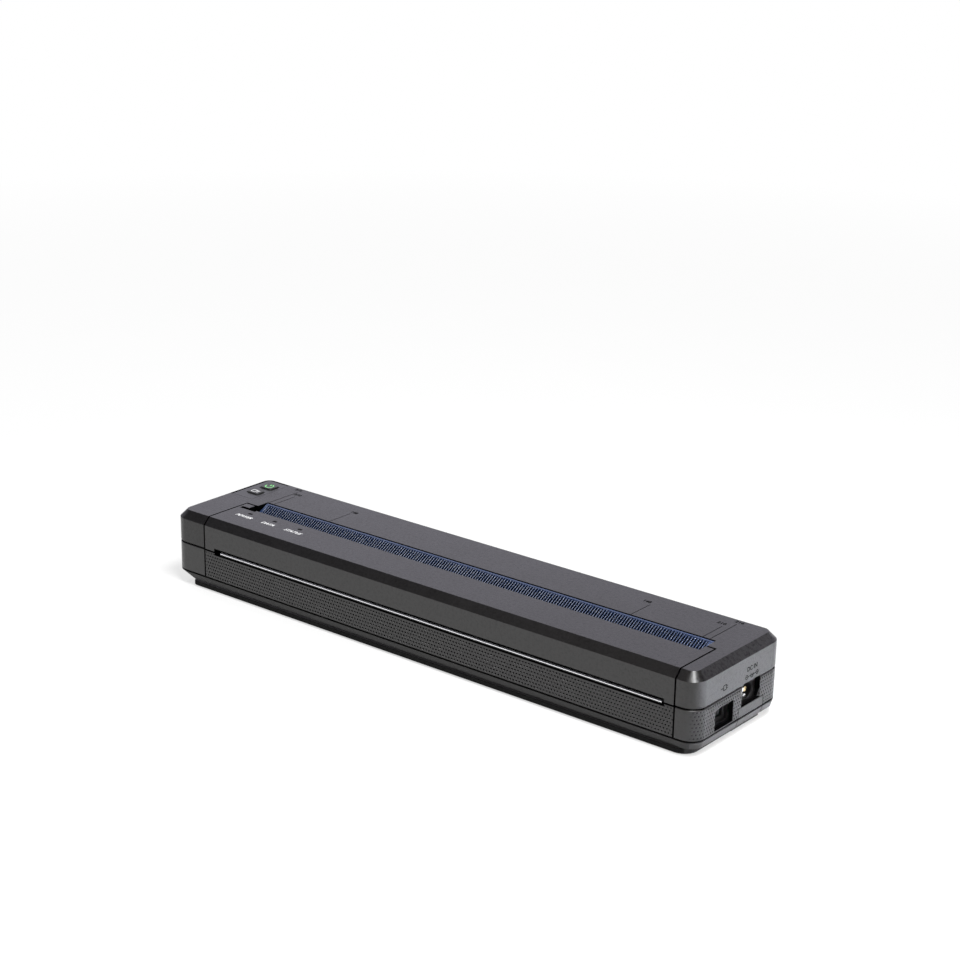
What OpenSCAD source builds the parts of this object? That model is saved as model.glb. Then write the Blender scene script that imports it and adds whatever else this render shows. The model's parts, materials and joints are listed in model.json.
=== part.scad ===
// Portable thermal printer for A4 and letter sheets.
// X runs along the length, Y from the front (paper exit) to the back, Z up from the table.

/* [Body] */
// Overall depth
body_d = 55; // [55:1:62]
// Overall height, standing on its feet
body_h = 31.2; // [31:0.1:34]
// Plan radius of the upright corners
corner_r = 6; // [5:0.5:8]
// Bevel round the top
top_bevel = 3; // [2:0.25:3.5]
// Height of the leaning lip below the dotted wall
foot_bevel = 3.1; // [2.8:0.1:3.5]
// How far the lip leans in at its foot
lip_in = 0.8; // [0.5:0.1:1.2]
// How much further the lip leans in at the left end
lip_left_in = 5.7; // [4:0.1:6]
// Casing wall
wall = 1.8; // [1.6:0.1:2.2]
// Casing floor
floor_t = 1.5; // [1.2:0.1:2]
// Clearance of the shut lines that show
shut_gap = 0.4; // [0.3:0.05:0.6]
// Depth of the groove between the smooth and the dotted shell
groove = 0.5; // [0.3:0.1:0.8]

/* [Release cover] */
// Length of the casing left of the release cover
cap_left = 17.5; // [16.5:0.5:22]
// Length of the casing right of the release cover
cap_right = 9.1; // [8.5:0.1:12]
// Depth of the cover on top, from the front to its rear lip
cover_d = 20.1; // [19.5:0.1:21]
// How far the cover's two ends reach behind its lip
cover_ear = 3.9; // [3:0.1:4.5]
// Distance of the hinge from the front face
hinge_in = 1.5; // [1.4:0.05:1.7]
// Height of the hinge above the tear bar
hinge_up = 2.1; // [2.1:0.05:2.6]
// Radius of the hinge pins
hinge_pin_r = 0.8; // [0.6:0.05:0.85]
// Running clearance in the bores
run_gap = 0.06; // [0.03:0.01:0.09]

/* [Paper path] */
// Widest sheet; the printer's length follows it
sheet_w = 216; // [212:1:230]
// A4 sheet
a4_w = 210; // [205:1:214]
// A5 sheet
a5_w = 148; // [120:1:180]
// Radius of the platen roller
platen_r = 4.5; // [4:0.1:4.8]
// Radius of the steel core of the platen
platen_core_r = 2; // [1.7:0.1:2.5]
// Radius of the platen's journals
journal_r = 1.5; // [1.2:0.1:1.6]
// Distance of the platen's axis from the front face
platen_in = 12; // [12:0.1:12.6]
// Height of the tear bar's edge in the paper exit, from its top to the top of the exit
exit_up = 1.2; // [1:0.1:1.4]
// Depth of the paper exit below the tear bar
exit_down = 1.7; // [1.4:0.1:2.2]
// Thickness of the tear bar
tear_t = 0.4; // [0.3:0.05:0.6]
// Paper gap between the platen and the print head
paper_gap = 0.25; // [0.2:0.05:0.4]
// Spacing of the guide's ribs
rib_pitch = 1.2; // [1:0.05:2.4]
// Width of one rib
rib_w = 0.5; // [0.3:0.05:0.6]
// Depth of the grooves between the ribs
rib_h = 0.9; // [0.5:0.05:1.2]

/* [Drive] */
// Tooth size of the gears
gear_module = 0.5; // [0.4:0.05:0.5]
// Teeth on the platen gear
platen_teeth = 22; // [20:1:22]
// Teeth on the small wheel of the reduction gear
small_teeth = 14; // [13:1:15]
// Teeth on the large wheel of the reduction gear
large_teeth = 38; // [34:1:38]
// Teeth on the motor pinion
pinion_teeth = 12; // [12:1:14]
// Room under the motor
motor_under = 1.8; // [0.6:0.1:3]
// Length of the motor
motor_l = 18; // [12:0.5:20]

/* [Battery] */
// Room between the motor and the battery pack
pack_left_room = 12.4; // [8:0.1:30]
// Room between the battery pack and the back of the casing
pack_rear_in = 10.4; // [10.2:0.1:14]
// Room between the battery pack and the roof
pack_top_in = 7.8; // [7:0.1:11]
// Fit of the pack and of the sliding cover
slide_gap = 0.3; // [0.2:0.05:0.4]

/* [Sockets] */
// Width of the cable socket's opening
port_w = 11.6; // [9:0.1:12]
// Height of the cable socket's opening
port_h = 8.2; // [6:0.1:8.6]
// Width of the power inlet's recess
inlet_w = 12; // [10:0.1:12.4]
// Height of the power inlet's recess
inlet_h = 8.5; // [7.8:0.1:8.8]
// Depth of the power inlet's recess
inlet_d = 2.2; // [1.5:0.1:2.6]
// Radius of the power inlet
jack_r = 3.2; // [2.8:0.1:3.3]
// Radius of the power inlet's centre pin
jack_pin_r = 1; // [0.6:0.05:1.2]

/* [Buttons] */
// Length of the power button, along the printer
power_l = 6; // [4:0.1:6.2]
// Width of the power button
power_w = 5.2; // [4:0.1:5.4]
// Width of the feed button
feed_w = 4.2; // [3:0.1:4.6]
// How far the buttons stand proud
button_proud = 0.5; // [0.3:0.1:0.8]
// Clearance round a button
button_gap = 0.25; // [0.15:0.05:0.35]

/* [Hidden] */
$fn = 48;
// Steps of arc in a quarter of a plan corner
corner_steps = 6;
// Common overrun of the cuts
over = 1;

c_smooth = [0.27, 0.265, 0.28];
c_dotted = [0.2, 0.2, 0.205];
c_blue = [0.16, 0.2, 0.36];
c_steel = [0.75, 0.76, 0.78];
c_black = [0.06, 0.06, 0.06];
c_white = [0.9, 0.9, 0.88];
c_green = [0.1, 0.35, 0.2];

// Ends and faces of the body
cover_over = 12.4;
body_l = cap_left + cap_right + sheet_w + cover_over;
xl = -body_l / 2;
xr = body_l / 2;
yf = -body_d / 2;
yb = body_d / 2;
under_top = body_h - wall;
skin_share = 0.4;
inner_bevel = top_bevel - wall * skin_share;

// Levels of the base: rubber feet, plinth, bevel and floor
plinth_z = 0.5;
plinth_h = 2.4;
case_z = plinth_z + plinth_h;
floor_z = case_z + floor_t;
skirt_z = case_z + foot_bevel;
// Shadow line between the lip and the wall
line_h = 0.4;
line_d = 0.35;
lip_z = skirt_z - line_h;
floor_share = (lip_z - floor_z) / (lip_z - case_z);
plinth_left_in = 9.8;
plinth_right_in = 2.6;
plinth_front_in = 0.3;
plinth_rear_in = 7.5;
plinth_r = 6;
plinth_left_r = 1.5;
plinth_bevel = 0.3;
plinth_foot_bevel = 0.4;

// Release cover
cover_x0 = xl + cap_left;
cover_x1 = xr - cap_right;
centre_x = (cover_x0 + cover_x1) / 2;
lip_y = yf + cover_d;
ear_y = lip_y + cover_ear;
platen_under = 1.9;
platen_y = yf + platen_in;
platen_z = under_top - platen_under - platen_r;
tear_gap = 0.2;
tear_z = platen_z - platen_r - tear_gap;
exit_z1 = tear_z + exit_up;
exit_z0 = tear_z - exit_down;
seam_drop = 0.3;
seam_z = tear_z - seam_drop;
band_gap = 0.2;
hinge_y = yf + hinge_in;
hinge_z = tear_z + hinge_up;
exit_margin_left = 5.3;
exit_margin_right = 4.1;
exit_x0 = cover_x0 + exit_margin_left;
exit_x1 = cover_x1 - exit_margin_right;
cover_end_t = 1.6;
flange_drop = 1.8;
arm_d = 4;

// Paper guide
throat_d = 10.4;
guide_rear = lip_y + throat_d;
guide_left_in = 6;
guide_x0 = cover_x0 + guide_left_in;
guide_x1 = exit_x1;
guide_drop = 5.8;
guide_strip = 1.2;
guide_under_lip = 1.2;
guide_t = 1;
guide_lip_in = 0.3;
guide_strip_deep = 2.8;
guide_seat_z = body_h - guide_lip_in - guide_strip_deep;

// Case floor parts
web_t = wall;
web_x0 = cover_x0 - shut_gap - web_t;
web_x1 = cover_x1 + shut_gap;
screw_boss_r = 2.4;
screw_r = 1.1;
screw_head_r = 2;
screw_head_t = 1.2;
screw_seat_r = 3;
screw_seat_t = 1;
boss_in = 5;
end_boss_in = 5.2;
end_boss_front = 6.9;

// Steel side plates
plate_t = 1;
plate_gap = 0.2;
plate_l_x = web_x0 - plate_gap - plate_t;
plate_r_in = 3.8;
plate_r_x = cover_x1 - plate_r_in;

// Drive geometry, in the plane across the printer
platen_pitch_r = platen_teeth * gear_module / 2;
small_pitch_r = small_teeth * gear_module / 2;
large_pitch_r = large_teeth * gear_module / 2;
pinion_pitch_r = pinion_teeth * gear_module / 2;
mesh_angle_1 = -34.5;
mesh_angle_2 = -14.8;
post_y = platen_y + (platen_pitch_r + small_pitch_r) * cos(mesh_angle_1);
post_z = platen_z + (platen_pitch_r + small_pitch_r) * sin(mesh_angle_1);
motor_y = post_y + (large_pitch_r + pinion_pitch_r) * cos(mesh_angle_2);
motor_z = post_z + (large_pitch_r + pinion_pitch_r) * sin(mesh_angle_2);
motor_r = motor_z - floor_z - motor_under;
gear_w = 3;
large_w = 2;
gear_gap = 0.3;
gear_x1 = plate_l_x - gear_gap;
gear_x0 = gear_x1 - gear_w;
large_x1 = gear_x0 - gear_gap;
large_x0 = large_x1 - large_w;
backlash_deg = 1.1;
post_r = 1;
motor_shaft_r = 1;

// Print head: the contact line, the way along its face and the way out behind it
nip_angle = -55;
face_y = cos(nip_angle + 90);
face_z = sin(nip_angle + 90);
back_y = cos(nip_angle);
back_z = sin(nip_angle);
nip_y = platen_y + platen_r * back_y;
nip_z = platen_z + platen_r * back_z;
ceramic_t = 1;
ceramic_front = 3.5;
ceramic_rear = 5;
sink_t = 3.5;
sink_over = 0.5;
pivot_front = 1.3;
pivot_down = 11.8;
head_pivot_y = platen_y - pivot_front;
head_pivot_z = platen_z - pivot_down;
head_rod_r = 1.2;
lug_r = 1.9;
lug_t = 3;

// Boards
board_t = 1.2;
board_up = 3.1;
board_z = floor_z + board_up;
board_top = board_z + board_t;

// Battery bay
pack_right_in = 37.5;
pack_front_in = 28;
pack_x1 = xr - pack_right_in;
pack_x0 = plate_l_x + plate_t + motor_l + pack_left_room;
pack_y0 = yf + pack_front_in;
pack_z0 = case_z + slide_gap;
pack_w = yb - pack_rear_in - pack_y0;
pack_h = under_top - pack_top_in - pack_z0;
contact_l = 2;
bay_x0 = pack_x0 - slide_gap;
bay_x1 = pack_x1 + contact_l;
bay_y0 = pack_y0 - slide_gap;
bay_y1 = pack_y0 + pack_w + slide_gap;
bay_wall = 1.2;
door_lip = 0.8;
door_link = 1.4;
door_flange = 0.7;
door_flange_t = 0.6;
door_lift = 0.1;
door_over = 3;
door_y0 = bay_y0 - slide_gap;
door_y1 = bay_y1 + slide_gap;
door_x0 = bay_x0 - door_over;
door_x1 = xr - plinth_right_in;
tab_w = 15.8;
tab_up = 3.8;
tab_y0 = door_y0;
tab_y1 = tab_y0 + tab_w;
tab_z1 = skirt_z + tab_up;

// Sockets on the right end
port_front_in = 17.9;
port_up = 4.75;
port_y = yf + port_front_in;
port_z = skirt_z + port_up;
port_cut = 1.5;
inlet_front_in = 34.9;
inlet_y = yf + inlet_front_in;
inlet_z0 = tab_z1 + slide_gap;
inlet_z1 = inlet_z0 + inlet_h;
jack_rear = 0.8;
jack_up = 5.2;
jack_y = inlet_y + jack_rear;
jack_z = board_top + jack_up;
jack_barrel_t = 0.5;
jack_body_w = 9;
jack_body_l = 12;
inlet_back = 1.2;

// Buttons at the rear of the left end
panel_in = 4;
panel_l = 11.2;
panel_front = 1.2;
panel_x0 = xl + panel_in;
panel_x1 = panel_x0 + panel_l;
panel_y0 = guide_rear - panel_front;
panel_y1 = yb - panel_in;
panel_t = 0.9;
button_in = 10.3;
power_rear_in = 10.2;
feed_pitch = 8.2;
power_x = xl + button_in;
power_y = yb - power_rear_in;
feed_y = power_y - feed_pitch;
button_r = 0.8;
stem_w = 2;
switch_gap = 0.8;
switch_board_down = 4.9;
switch_board_z = under_top - switch_board_down;
switch_h = 1.6;

// Points of an arc, and of a plan with round corners that is drawn in by inset, and by left more
// at its left end, where the corners have their own radius
function arc(cx, cy, r, a0, n) = [for (i = [0:n]) [cx + r * cos(a0 + 90 * i / n),
    cy + r * sin(a0 + 90 * i / n)]];
function plan(b, r, inset, left = 0, left_r = 0) = let (q = max(r - inset, r / 10),
    p = left_r > 0 ? max(left_r - inset, left_r / 10) : q, n = corner_steps,
    x0 = b[0] + inset + left, x1 = b[1] - inset, y0 = b[2] + inset, y1 = b[3] - inset)
    concat(arc(x1 - q, y1 - q, q, 0, n), arc(x0 + p, y1 - p, p, 90, n),
        arc(x0 + p, y0 + p, p, 180, n), arc(x1 - q, y0 + q, q, 270, n));

// A closed stack of such plans: rings holds [height, inset, more on the left] from the bottom up
module stack(b, r, rings, left_r = 0) {
    m = 4 * (corner_steps + 1);
    k = len(rings);
    points = [for (g = rings) for (p = plan(b, r, g[1], len(g) > 2 ? g[2] : 0, left_r))
        [p[0], p[1], g[0]]];
    sides = [for (j = [0:k - 2]) for (i = [0:m - 1])
        [j * m + i, (j + 1) * m + i, (j + 1) * m + (i + 1) % m, j * m + (i + 1) % m]];
    polyhedron(points, concat([[for (i = [0:m - 1]) i]], sides,
        [[for (i = [m - 1:-1:0]) (k - 1) * m + i]]), convexity = 4);
}

// A block between two corners
module block(x0, x1, y0, y1, z0, z1) {
    translate([x0, y0, z0]) cube([x1 - x0, y1 - y0, z1 - z0]);
}

// Draws its children in the plane across the printer, from x towards the right
module across(x, y = 0, z = 0) {
    translate([x, y, z]) rotate([90, 0, 90]) children();
}

// A round bar along the printer
module bar(x0, x1, y, z, r) {
    across(x0, y, z) cylinder(h = x1 - x0, r = r);
}

// A section drawn as [y, z] points, from x0 to x1
module section(x0, x1, points) {
    across(x0) linear_extrude(x1 - x0) polygon(points);
}

module post(x, y, z0, z1, r) {
    translate([x, y, z0]) cylinder(h = z1 - z0, r = r);
}

case_box = [xl, xr, yf, yb];
plinth_box = [xl + plinth_left_in, xr - plinth_right_in, yf + plinth_front_in, yb - plinth_rear_in];
boss_places = [[xl + boss_in, yf + boss_in], [panel_x1 + boss_in, yb - boss_in],
    [xr - cap_right - boss_in, yb - boss_in], [xr - end_boss_in, yf + end_boss_front]];

module upper_outside() {
    stack(case_box, corner_r, [[seam_z, groove], [seam_z + groove, 0], [body_h - top_bevel, 0],
        [body_h, top_bevel]]);
}

// Lines that show where the edges of each sheet size lie
module width_marks() {
    mark_w = 0.3;
    mark_deep = 0.25;
    long_mark = 17.5;
    mark_l = 12.5;
    marks = [[sheet_w, long_mark], [a4_w, mark_l], [a5_w, mark_l]];
    for (m = marks, s = [-1, 1])
        block(centre_x + s * m[0] / 2 - mark_w / 2, centre_x + s * m[0] / 2 + mark_w / 2,
            guide_rear - over, guide_rear + m[1], body_h - mark_deep, body_h + over);
}

module inlet_pocket() {
    block(xr - inlet_d, xr + over, inlet_y - inlet_w / 2, inlet_y + inlet_w / 2,
        inlet_z0, inlet_z1);
}

module inlet_backing(z0, z1) {
    block(xr - inlet_d - inlet_back, xr - wall + over / 2, inlet_y - inlet_w / 2 - inlet_back,
        inlet_y + inlet_w / 2 + inlet_back, z0, z1);
}

module button_hole(x, y, l, w, z0, z1, grow) {
    block(x - l / 2 - grow, x + l / 2 + grow, y - w / 2 - grow, y + w / 2 + grow, z0, z1);
}

module top_cover() {
    notch_d = 11;
    notch_up = 0.8;
    flange_t = 1.2;
    flange_h = 4;
    web_y1 = ear_y + 2.5 * shut_gap + flange_t;
    color(c_smooth) difference() {
        union() {
            difference() {
                upper_outside();
                stack(case_box, corner_r, [[seam_z - over, wall], [under_top - inner_bevel, wall],
                    [under_top, wall + inner_bevel]]);
                block(cover_x0 - shut_gap, cover_x1 + shut_gap, yf - over, ear_y + 2.5 * shut_gap,
                    seam_z - over, body_h + over);
                block(guide_x0 - shut_gap, guide_x1 + shut_gap, lip_y, guide_rear + shut_gap / 2, seam_z,
                    body_h + over);
            }
            intersection() {
                upper_outside();
                union() {
                    block(web_x0, web_x0 + web_t, yf, web_y1, seam_z, body_h);
                    block(web_x1, web_x1 + web_t, yf, web_y1, seam_z, body_h);
                    for (p = boss_places) post(p[0], p[1], seam_z, body_h, screw_boss_r);
                }
            }
            // Flange behind the paper guide, and the ledge that its strip rests on
            block(guide_x0 - over, guide_x1 + over, guide_rear + shut_gap / 2,
                guide_rear + shut_gap / 2 + flange_t,
                under_top - flange_h, under_top + over / 2);
            block(guide_x0 - over, guide_x1 + over, guide_rear - flange_t, guide_rear + flange_t,
                guide_seat_z - flange_t, guide_seat_z);
            inlet_backing(seam_z, inlet_z1 + inlet_back);
            for (x = stay_places) post(x, stay_y, switch_board_z + board_t, under_top + over / 2, stay_r);
        }
        block(web_x0 - over, web_x0 + web_t + over, platen_y - notch_d / 2, platen_y + notch_d / 2,
            seam_z - over, under_top - notch_up);
        bar(web_x0, web_x1 + web_t, hinge_y, hinge_z, hinge_pin_r);
        bar(web_x0 - over, web_x0 + web_t + over, motor_y, motor_z, motor_r + plate_gap);
        width_marks();
        inlet_pocket();
        block(panel_x0, panel_x1, panel_y0, panel_y1, body_h - panel_t, body_h + over);
        button_hole(power_x, power_y, power_l, power_w, seam_z, body_h, button_gap);
        button_hole(power_x, feed_y, power_l, feed_w, seam_z, body_h, button_gap);
        for (p = boss_places) post(p[0], p[1], seam_z - over, under_top, screw_r);
    }
}

module lower_outside() {
    stack(case_box, corner_r, [[case_z, lip_in, lip_left_in], [lip_z, 0], [lip_z, line_d],
        [skirt_z, line_d], [skirt_z, 0], [seam_z - groove, 0], [seam_z, groove]]);
    stack(plinth_box, plinth_r, [[plinth_z, plinth_foot_bevel], [plinth_z + plinth_foot_bevel, 0],
        [case_z - plinth_bevel, 0], [case_z, plinth_bevel],
        [case_z + plinth_bevel, 2 * plinth_bevel]], plinth_left_r);
}

module bottom_case() {
    rib_t = 1.2;
    spring_post_r = 2.5;
    board_post_r = 1.8;
    color(c_dotted) difference() {
        union() {
            difference() {
                lower_outside();
                stack(case_box, corner_r, [[floor_z, wall + lip_in * floor_share,
                    lip_left_in * floor_share], [skirt_z, wall], [seam_z + over, wall]]);
                // Opening for the front panel, above its sill
                block(cover_x0 - shut_gap, cover_x1 + shut_gap, yf - over, yf + 2 * wall, skirt_z,
                    seam_z + over);
            }
            // Walls round the battery bay
            block(bay_x0 - bay_wall, bay_x0, bay_y0 - bay_wall, bay_y1 + bay_wall, case_z,
                pack_z0 + pack_h);
            block(bay_x1, bay_x1 + bay_wall, bay_y0 - bay_wall, bay_y1 + bay_wall, case_z,
                pack_z0 + pack_h / 2);
            block(bay_x0, bay_x1, bay_y0 - bay_wall, bay_y0, case_z, pack_z0 + pack_h);
            block(bay_x0, bay_x1, bay_y1, bay_y1 + bay_wall, case_z, pack_z0 + pack_h);
            intersection() {
                lower_outside();
                for (p = boss_places) {
                    post(p[0], p[1], case_z, seam_z, screw_boss_r);
                    post(p[0], p[1], case_z, skirt_z + screw_seat_t, screw_seat_r);
                }
            }
            // Posts under the head springs and the boards
            for (x = spring_places) post(x, spring_y, case_z, floor_z + spring_post_h, spring_post_r);
            for (p = board_places) post(p[0], p[1], case_z, board_z, board_post_r);
            inlet_backing(floor_z, seam_z);
            // Cross rib that the gear motor stands on
            block(plate_l_x + plate_t + plate_gap, plate_l_x + plate_t + plate_gap + motor_l,
                motor_y - rib_t, motor_y + rib_t, case_z, motor_z - motor_r);
        }
        // Battery bay, and the grooved way of its cover
        block(bay_x0, bay_x1, bay_y0, bay_y1, -over, pack_z0 + pack_h + over);
        block(door_x0 - slide_gap, xr, door_y0 - slide_gap, door_y1 + slide_gap, -over, case_z);
        block(door_x0 - slide_gap, xr, door_y0 - door_flange - slide_gap, door_y1 + door_flange + slide_gap,
            plinth_z + door_lip, case_z);
        // Way for the cover's tab in the end wall
        block(xr - wall - slide_gap, xr + over, tab_y0 - slide_gap, tab_y1 + slide_gap, -over,
            tab_z1 + slide_gap);
        block(door_x1 - door_link - slide_gap, xr + over, tab_y0 - slide_gap, tab_y1 + slide_gap, -over,
            skirt_z + wall / 2);
        inlet_pocket();
        bar(xr - inlet_d - 2 * inlet_back, xr, jack_y, jack_z, jack_r + jack_barrel_t + run_gap);
        across(xr - wall - over, port_y, port_z) linear_extrude(wall + 2 * over) polygon([
            [-port_w / 2, -port_h / 2], [port_w / 2, -port_h / 2], [port_w / 2, port_h / 2],
            [-port_w / 2 + port_cut, port_h / 2], [-port_w / 2, port_h / 2 - port_cut]]);
        for (p = boss_places) {
            post(p[0], p[1], case_z - over, seam_z + over, screw_r);
            post(p[0], p[1], -over, skirt_z, screw_head_r);
        }
        for (p = foot_places) foot_at(p, plinth_z - over, plinth_z + foot_seat);
        for (p = plate_screw_places) post(p[0], p[1], case_z + floor_t / 3, floor_z + over, plate_screw_r);
    }
}

// Rubber feet set into the plinth
foot_seat = 0.4;
foot_l = 16;
foot_w = 3.2;
foot_in = 2.4;
foot_end_in = 12;
foot_places = [for (x = [plinth_box[0] + foot_l, plinth_box[1] - foot_l])
    [x, plinth_box[2] + foot_in + foot_w / 2], [plinth_box[0] + foot_end_in,
        plinth_box[3] - foot_in - foot_w / 2],
    [centre_x, plinth_box[2] + foot_in + foot_w / 2]];
door_foot_place = [door_x1 - foot_l, door_y1 - foot_in - foot_w / 2];

module foot_at(p, z0, z1) {
    translate([p[0], p[1], z0]) linear_extrude(z1 - z0) {
        square([foot_l - foot_w, foot_w], center = true);
        for (s = [-1, 1]) translate([s * (foot_l - foot_w) / 2, 0]) circle(foot_w / 2);
    }
}

module rubber_feet() {
    color(c_black) {
        for (p = foot_places) foot_at(p, 0, plinth_z + foot_seat);
    }
}

module case_screws() {
    screw_l = 18;
    slack = 0.1;
    color(c_steel) for (p = boss_places) {
        post(p[0], p[1], skirt_z - screw_head_t, skirt_z, screw_head_r - slack);
        post(p[0], p[1], skirt_z, skirt_z + screw_l, screw_r - slack / 2);
    }
}

// Dotted panel below the paper exit, with the shelf that carries the tear bar
module front_panel() {
    shelf_lip = 1.2;
    shelf_z = tear_z - tear_t;
    shelf_t = 1.4;
    shelf_d = 7.5;
    tongue_l = 2;
    tongue_t = 1.2;
    tongue_h = 8;
    end_top = seam_z - groove;
    color(c_dotted) {
        section(exit_x0, exit_x1, [[yf, skirt_z], [yf, exit_z0], [yf + shelf_lip, exit_z0],
            [yf + shelf_lip, shelf_z],
            [yf + shelf_d, shelf_z], [yf + shelf_d, shelf_z - shelf_t], [yf + wall, shelf_z - shelf_t],
                [yf + wall, skirt_z]]);
        block(cover_x0, exit_x0, yf, yf + wall, skirt_z, end_top);
        block(exit_x1, cover_x1, yf, yf + wall, skirt_z, end_top);
        block(cover_x0 - tongue_l, exit_x0, yf + wall, yf + wall + tongue_t, skirt_z, skirt_z + tongue_h);
        block(exit_x1, cover_x1 + tongue_l, yf + wall, yf + wall + tongue_t, skirt_z, skirt_z + tongue_h);
    }
}

module tear_bar() {
    edge_in = 0.35;
    bar_d = 6.8;
    fold_down = 1.05;
    fold_in = 0.4;
    edge_y = yf + edge_in;
    inner_y = edge_y + tear_t;
    end_left = 3.1;
    end_right = 1.2;
    color(c_steel) section(exit_x0 + end_left, exit_x1 - end_right,
        [[edge_y, tear_z - fold_down], [edge_y, tear_z - fold_in], [edge_y + fold_in, tear_z],
        [edge_y + bar_d, tear_z], [edge_y + bar_d, tear_z - tear_t],
        [inner_y + fold_in / 2, tear_z - tear_t], [inner_y, tear_z - tear_t - fold_in / 2],
        [inner_y, tear_z - fold_down]]);
}

// Status windows in the release cover
window_l = 2.4;
window_w = 1.3;
window_first = 10.3;
window_pitch = 13.8;
window_y = lip_y - 4.1;
window_x = [for (i = [0:2]) cover_x0 + window_first + window_pitch * i];
window_fit = 0.05;

module window(x, z0, z1, grow) {
    translate([x, window_y, z0]) linear_extrude(z1 - z0) {
        square([window_l - window_w, window_w + 2 * grow], center = true);
        for (s = [-1, 1]) translate([s * (window_l - window_w) / 2, 0]) circle(window_w / 2 + grow);
    }
}

// Section of the cover's skin, down to z_low
function cover_skin(z_low) = let (k = wall * skin_share) [[yf, z_low], [yf, body_h - top_bevel],
    [yf + top_bevel, body_h],
    [lip_y, body_h], [lip_y, under_top], [yf + top_bevel + k, under_top],
    [yf + wall, body_h - top_bevel - k], [yf + wall, z_low]];

module release_cover() {
    band_z = seam_z + band_gap;
    flange_z = under_top - flange_drop;
    arm_root = 6;
    rib_count = 11;
    rib_t = 1;
    rib_deep = 1.2;
    rib_back = 0.4;
    rib_long = 2.2;
    tongue_l = 4.8;
    slot_in = 1.2;
    slot_l = 8.5;
    slot_front = 1.2;
    slot_back = 0.7;
    flange = [[yf, band_z], [yf, body_h - top_bevel], [yf + top_bevel, body_h], [ear_y, body_h],
        [ear_y, flange_z], [yf + arm_root, flange_z], [yf + arm_d, band_z + arm_d], [yf + arm_d, band_z]];
    color(c_smooth) difference() {
        union() {
            section(exit_x0, exit_x1, cover_skin(exit_z1));
            section(cover_x0, exit_x0, cover_skin(band_z));
            section(exit_x1, cover_x1, cover_skin(band_z));
            section(cover_x0, cover_x0 + cover_end_t, flange);
            section(cover_x1 - cover_end_t, cover_x1, flange);
            block(cover_x0, cover_x0 + tongue_l, lip_y - over, ear_y, under_top, body_h);
            block(guide_x1 + shut_gap, cover_x1, lip_y - over, ear_y, under_top, body_h);
            for (i = [0:rib_count - 1]) let (x = guide_x0 + (guide_x1 - guide_x0) * (i + 0.5) / rib_count)
                block(x - rib_t / 2, x + rib_t / 2, lip_y - rib_back - rib_long, lip_y - rib_back,
                    under_top - rib_deep, under_top + over / 2);
        }
        block(cover_x0 + slot_in, cover_x0 + slot_in + slot_l, lip_y - slot_front, lip_y + slot_back,
            flange_z, body_h + over);
        for (x = window_x) window(x, under_top - over, body_h + over, 0);
        bar(cover_x0 - over, cover_x0 + cover_end_t, hinge_y, hinge_z, hinge_pin_r + run_gap);
        bar(cover_x1 - cover_end_t, cover_x1 + over, hinge_y, hinge_z, hinge_pin_r + run_gap);
    }
}

module hinge_pins() {
    end_gap = 0.2;
    color(c_steel) {
        bar(web_x0, cover_x0 + cover_end_t - end_gap, hinge_y, hinge_z, hinge_pin_r);
        bar(cover_x1 - cover_end_t + end_gap, web_x1 + web_t, hinge_y, hinge_z, hinge_pin_r);
    }
}

// Clear guide that carries the light to the three windows
module status_light_guide() {
    guide_w = 2.4;
    guide_h = 1.1;
    leg_t = 1.4;
    leg_h = 3.6;
    x0 = cover_x0 + cover_end_t + shut_gap;
    color([0.8, 0.85, 0.85]) {
        block(x0, window_x[2] + window_l, window_y - guide_w / 2, window_y + guide_w / 2,
            under_top - guide_h, under_top);
        block(x0, x0 + leg_t, window_y - guide_w / 2, window_y + guide_w / 2, under_top - guide_h - leg_h,
            under_top - guide_h);
        for (x = window_x) window(x, under_top, body_h - window_fit, -window_fit);
    }
}

module status_leds() {
    led_board_t = 0.8;
    led_board_h = 2.8;
    led_board_w = 2.5;
    led_in = 0.4;
    led_t = 1;
    led_rear = 2.6;
    led_up = 2.4;
    x0 = plate_l_x + plate_t;
    y0 = platen_y + led_rear;
    z0 = platen_z + led_up;
    color(c_white) {
        block(x0, x0 + led_board_t, y0, y0 + led_board_w, z0, z0 + led_board_h);
        block(x0 + led_board_t, x0 + led_board_t + led_t, y0 + led_in, y0 + led_board_w - led_in,
            z0 + led_in, z0 + led_board_h - led_in);
    }
}

// Ribbed guide that the sheet is laid on: a flat strip, then a comb sloping under the cover's lip
module paper_guide() {
    top_z = body_h - guide_lip_in;
    end_rib = 1.6;
    slope_d = throat_d - guide_strip + guide_under_lip;
    step = 0.2;
    root = 0.3;
    slope = atan2(guide_drop - step, slope_d);
    slope_l = norm([slope_d, guide_drop - step]) + root;
    front_y = guide_rear - guide_strip;
    low = -rib_h - guide_t;
    count = floor((guide_x1 - guide_x0 - 2 * end_rib) / rib_pitch);
    first = (guide_x0 + guide_x1 - count * rib_pitch) / 2;
    teeth = [for (i = [0:count - 1]) let (x = first + rib_pitch * (i + 0.5)) each
        [[x - rib_w / 2, -rib_h], [x - rib_w / 2, 0], [x + rib_w / 2, 0], [x + rib_w / 2, -rib_h]]];
    comb = concat([[guide_x0, low], [guide_x0, 0], [first, 0], [first, -rib_h]], teeth,
        [[guide_x1 + guide_x0 - first, -rib_h], [guide_x1 + guide_x0 - first, 0], [guide_x1, 0],
            [guide_x1, low]]);
    color(c_blue) {
        translate([0, front_y + root * cos(slope), top_z - step + root * sin(slope)])
            rotate([slope, 0, 0]) rotate([90, 0, 0]) linear_extrude(slope_l) polygon(comb);
        block(guide_x0, guide_x1, front_y, guide_rear, guide_seat_z, top_z);
    }
}

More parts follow.
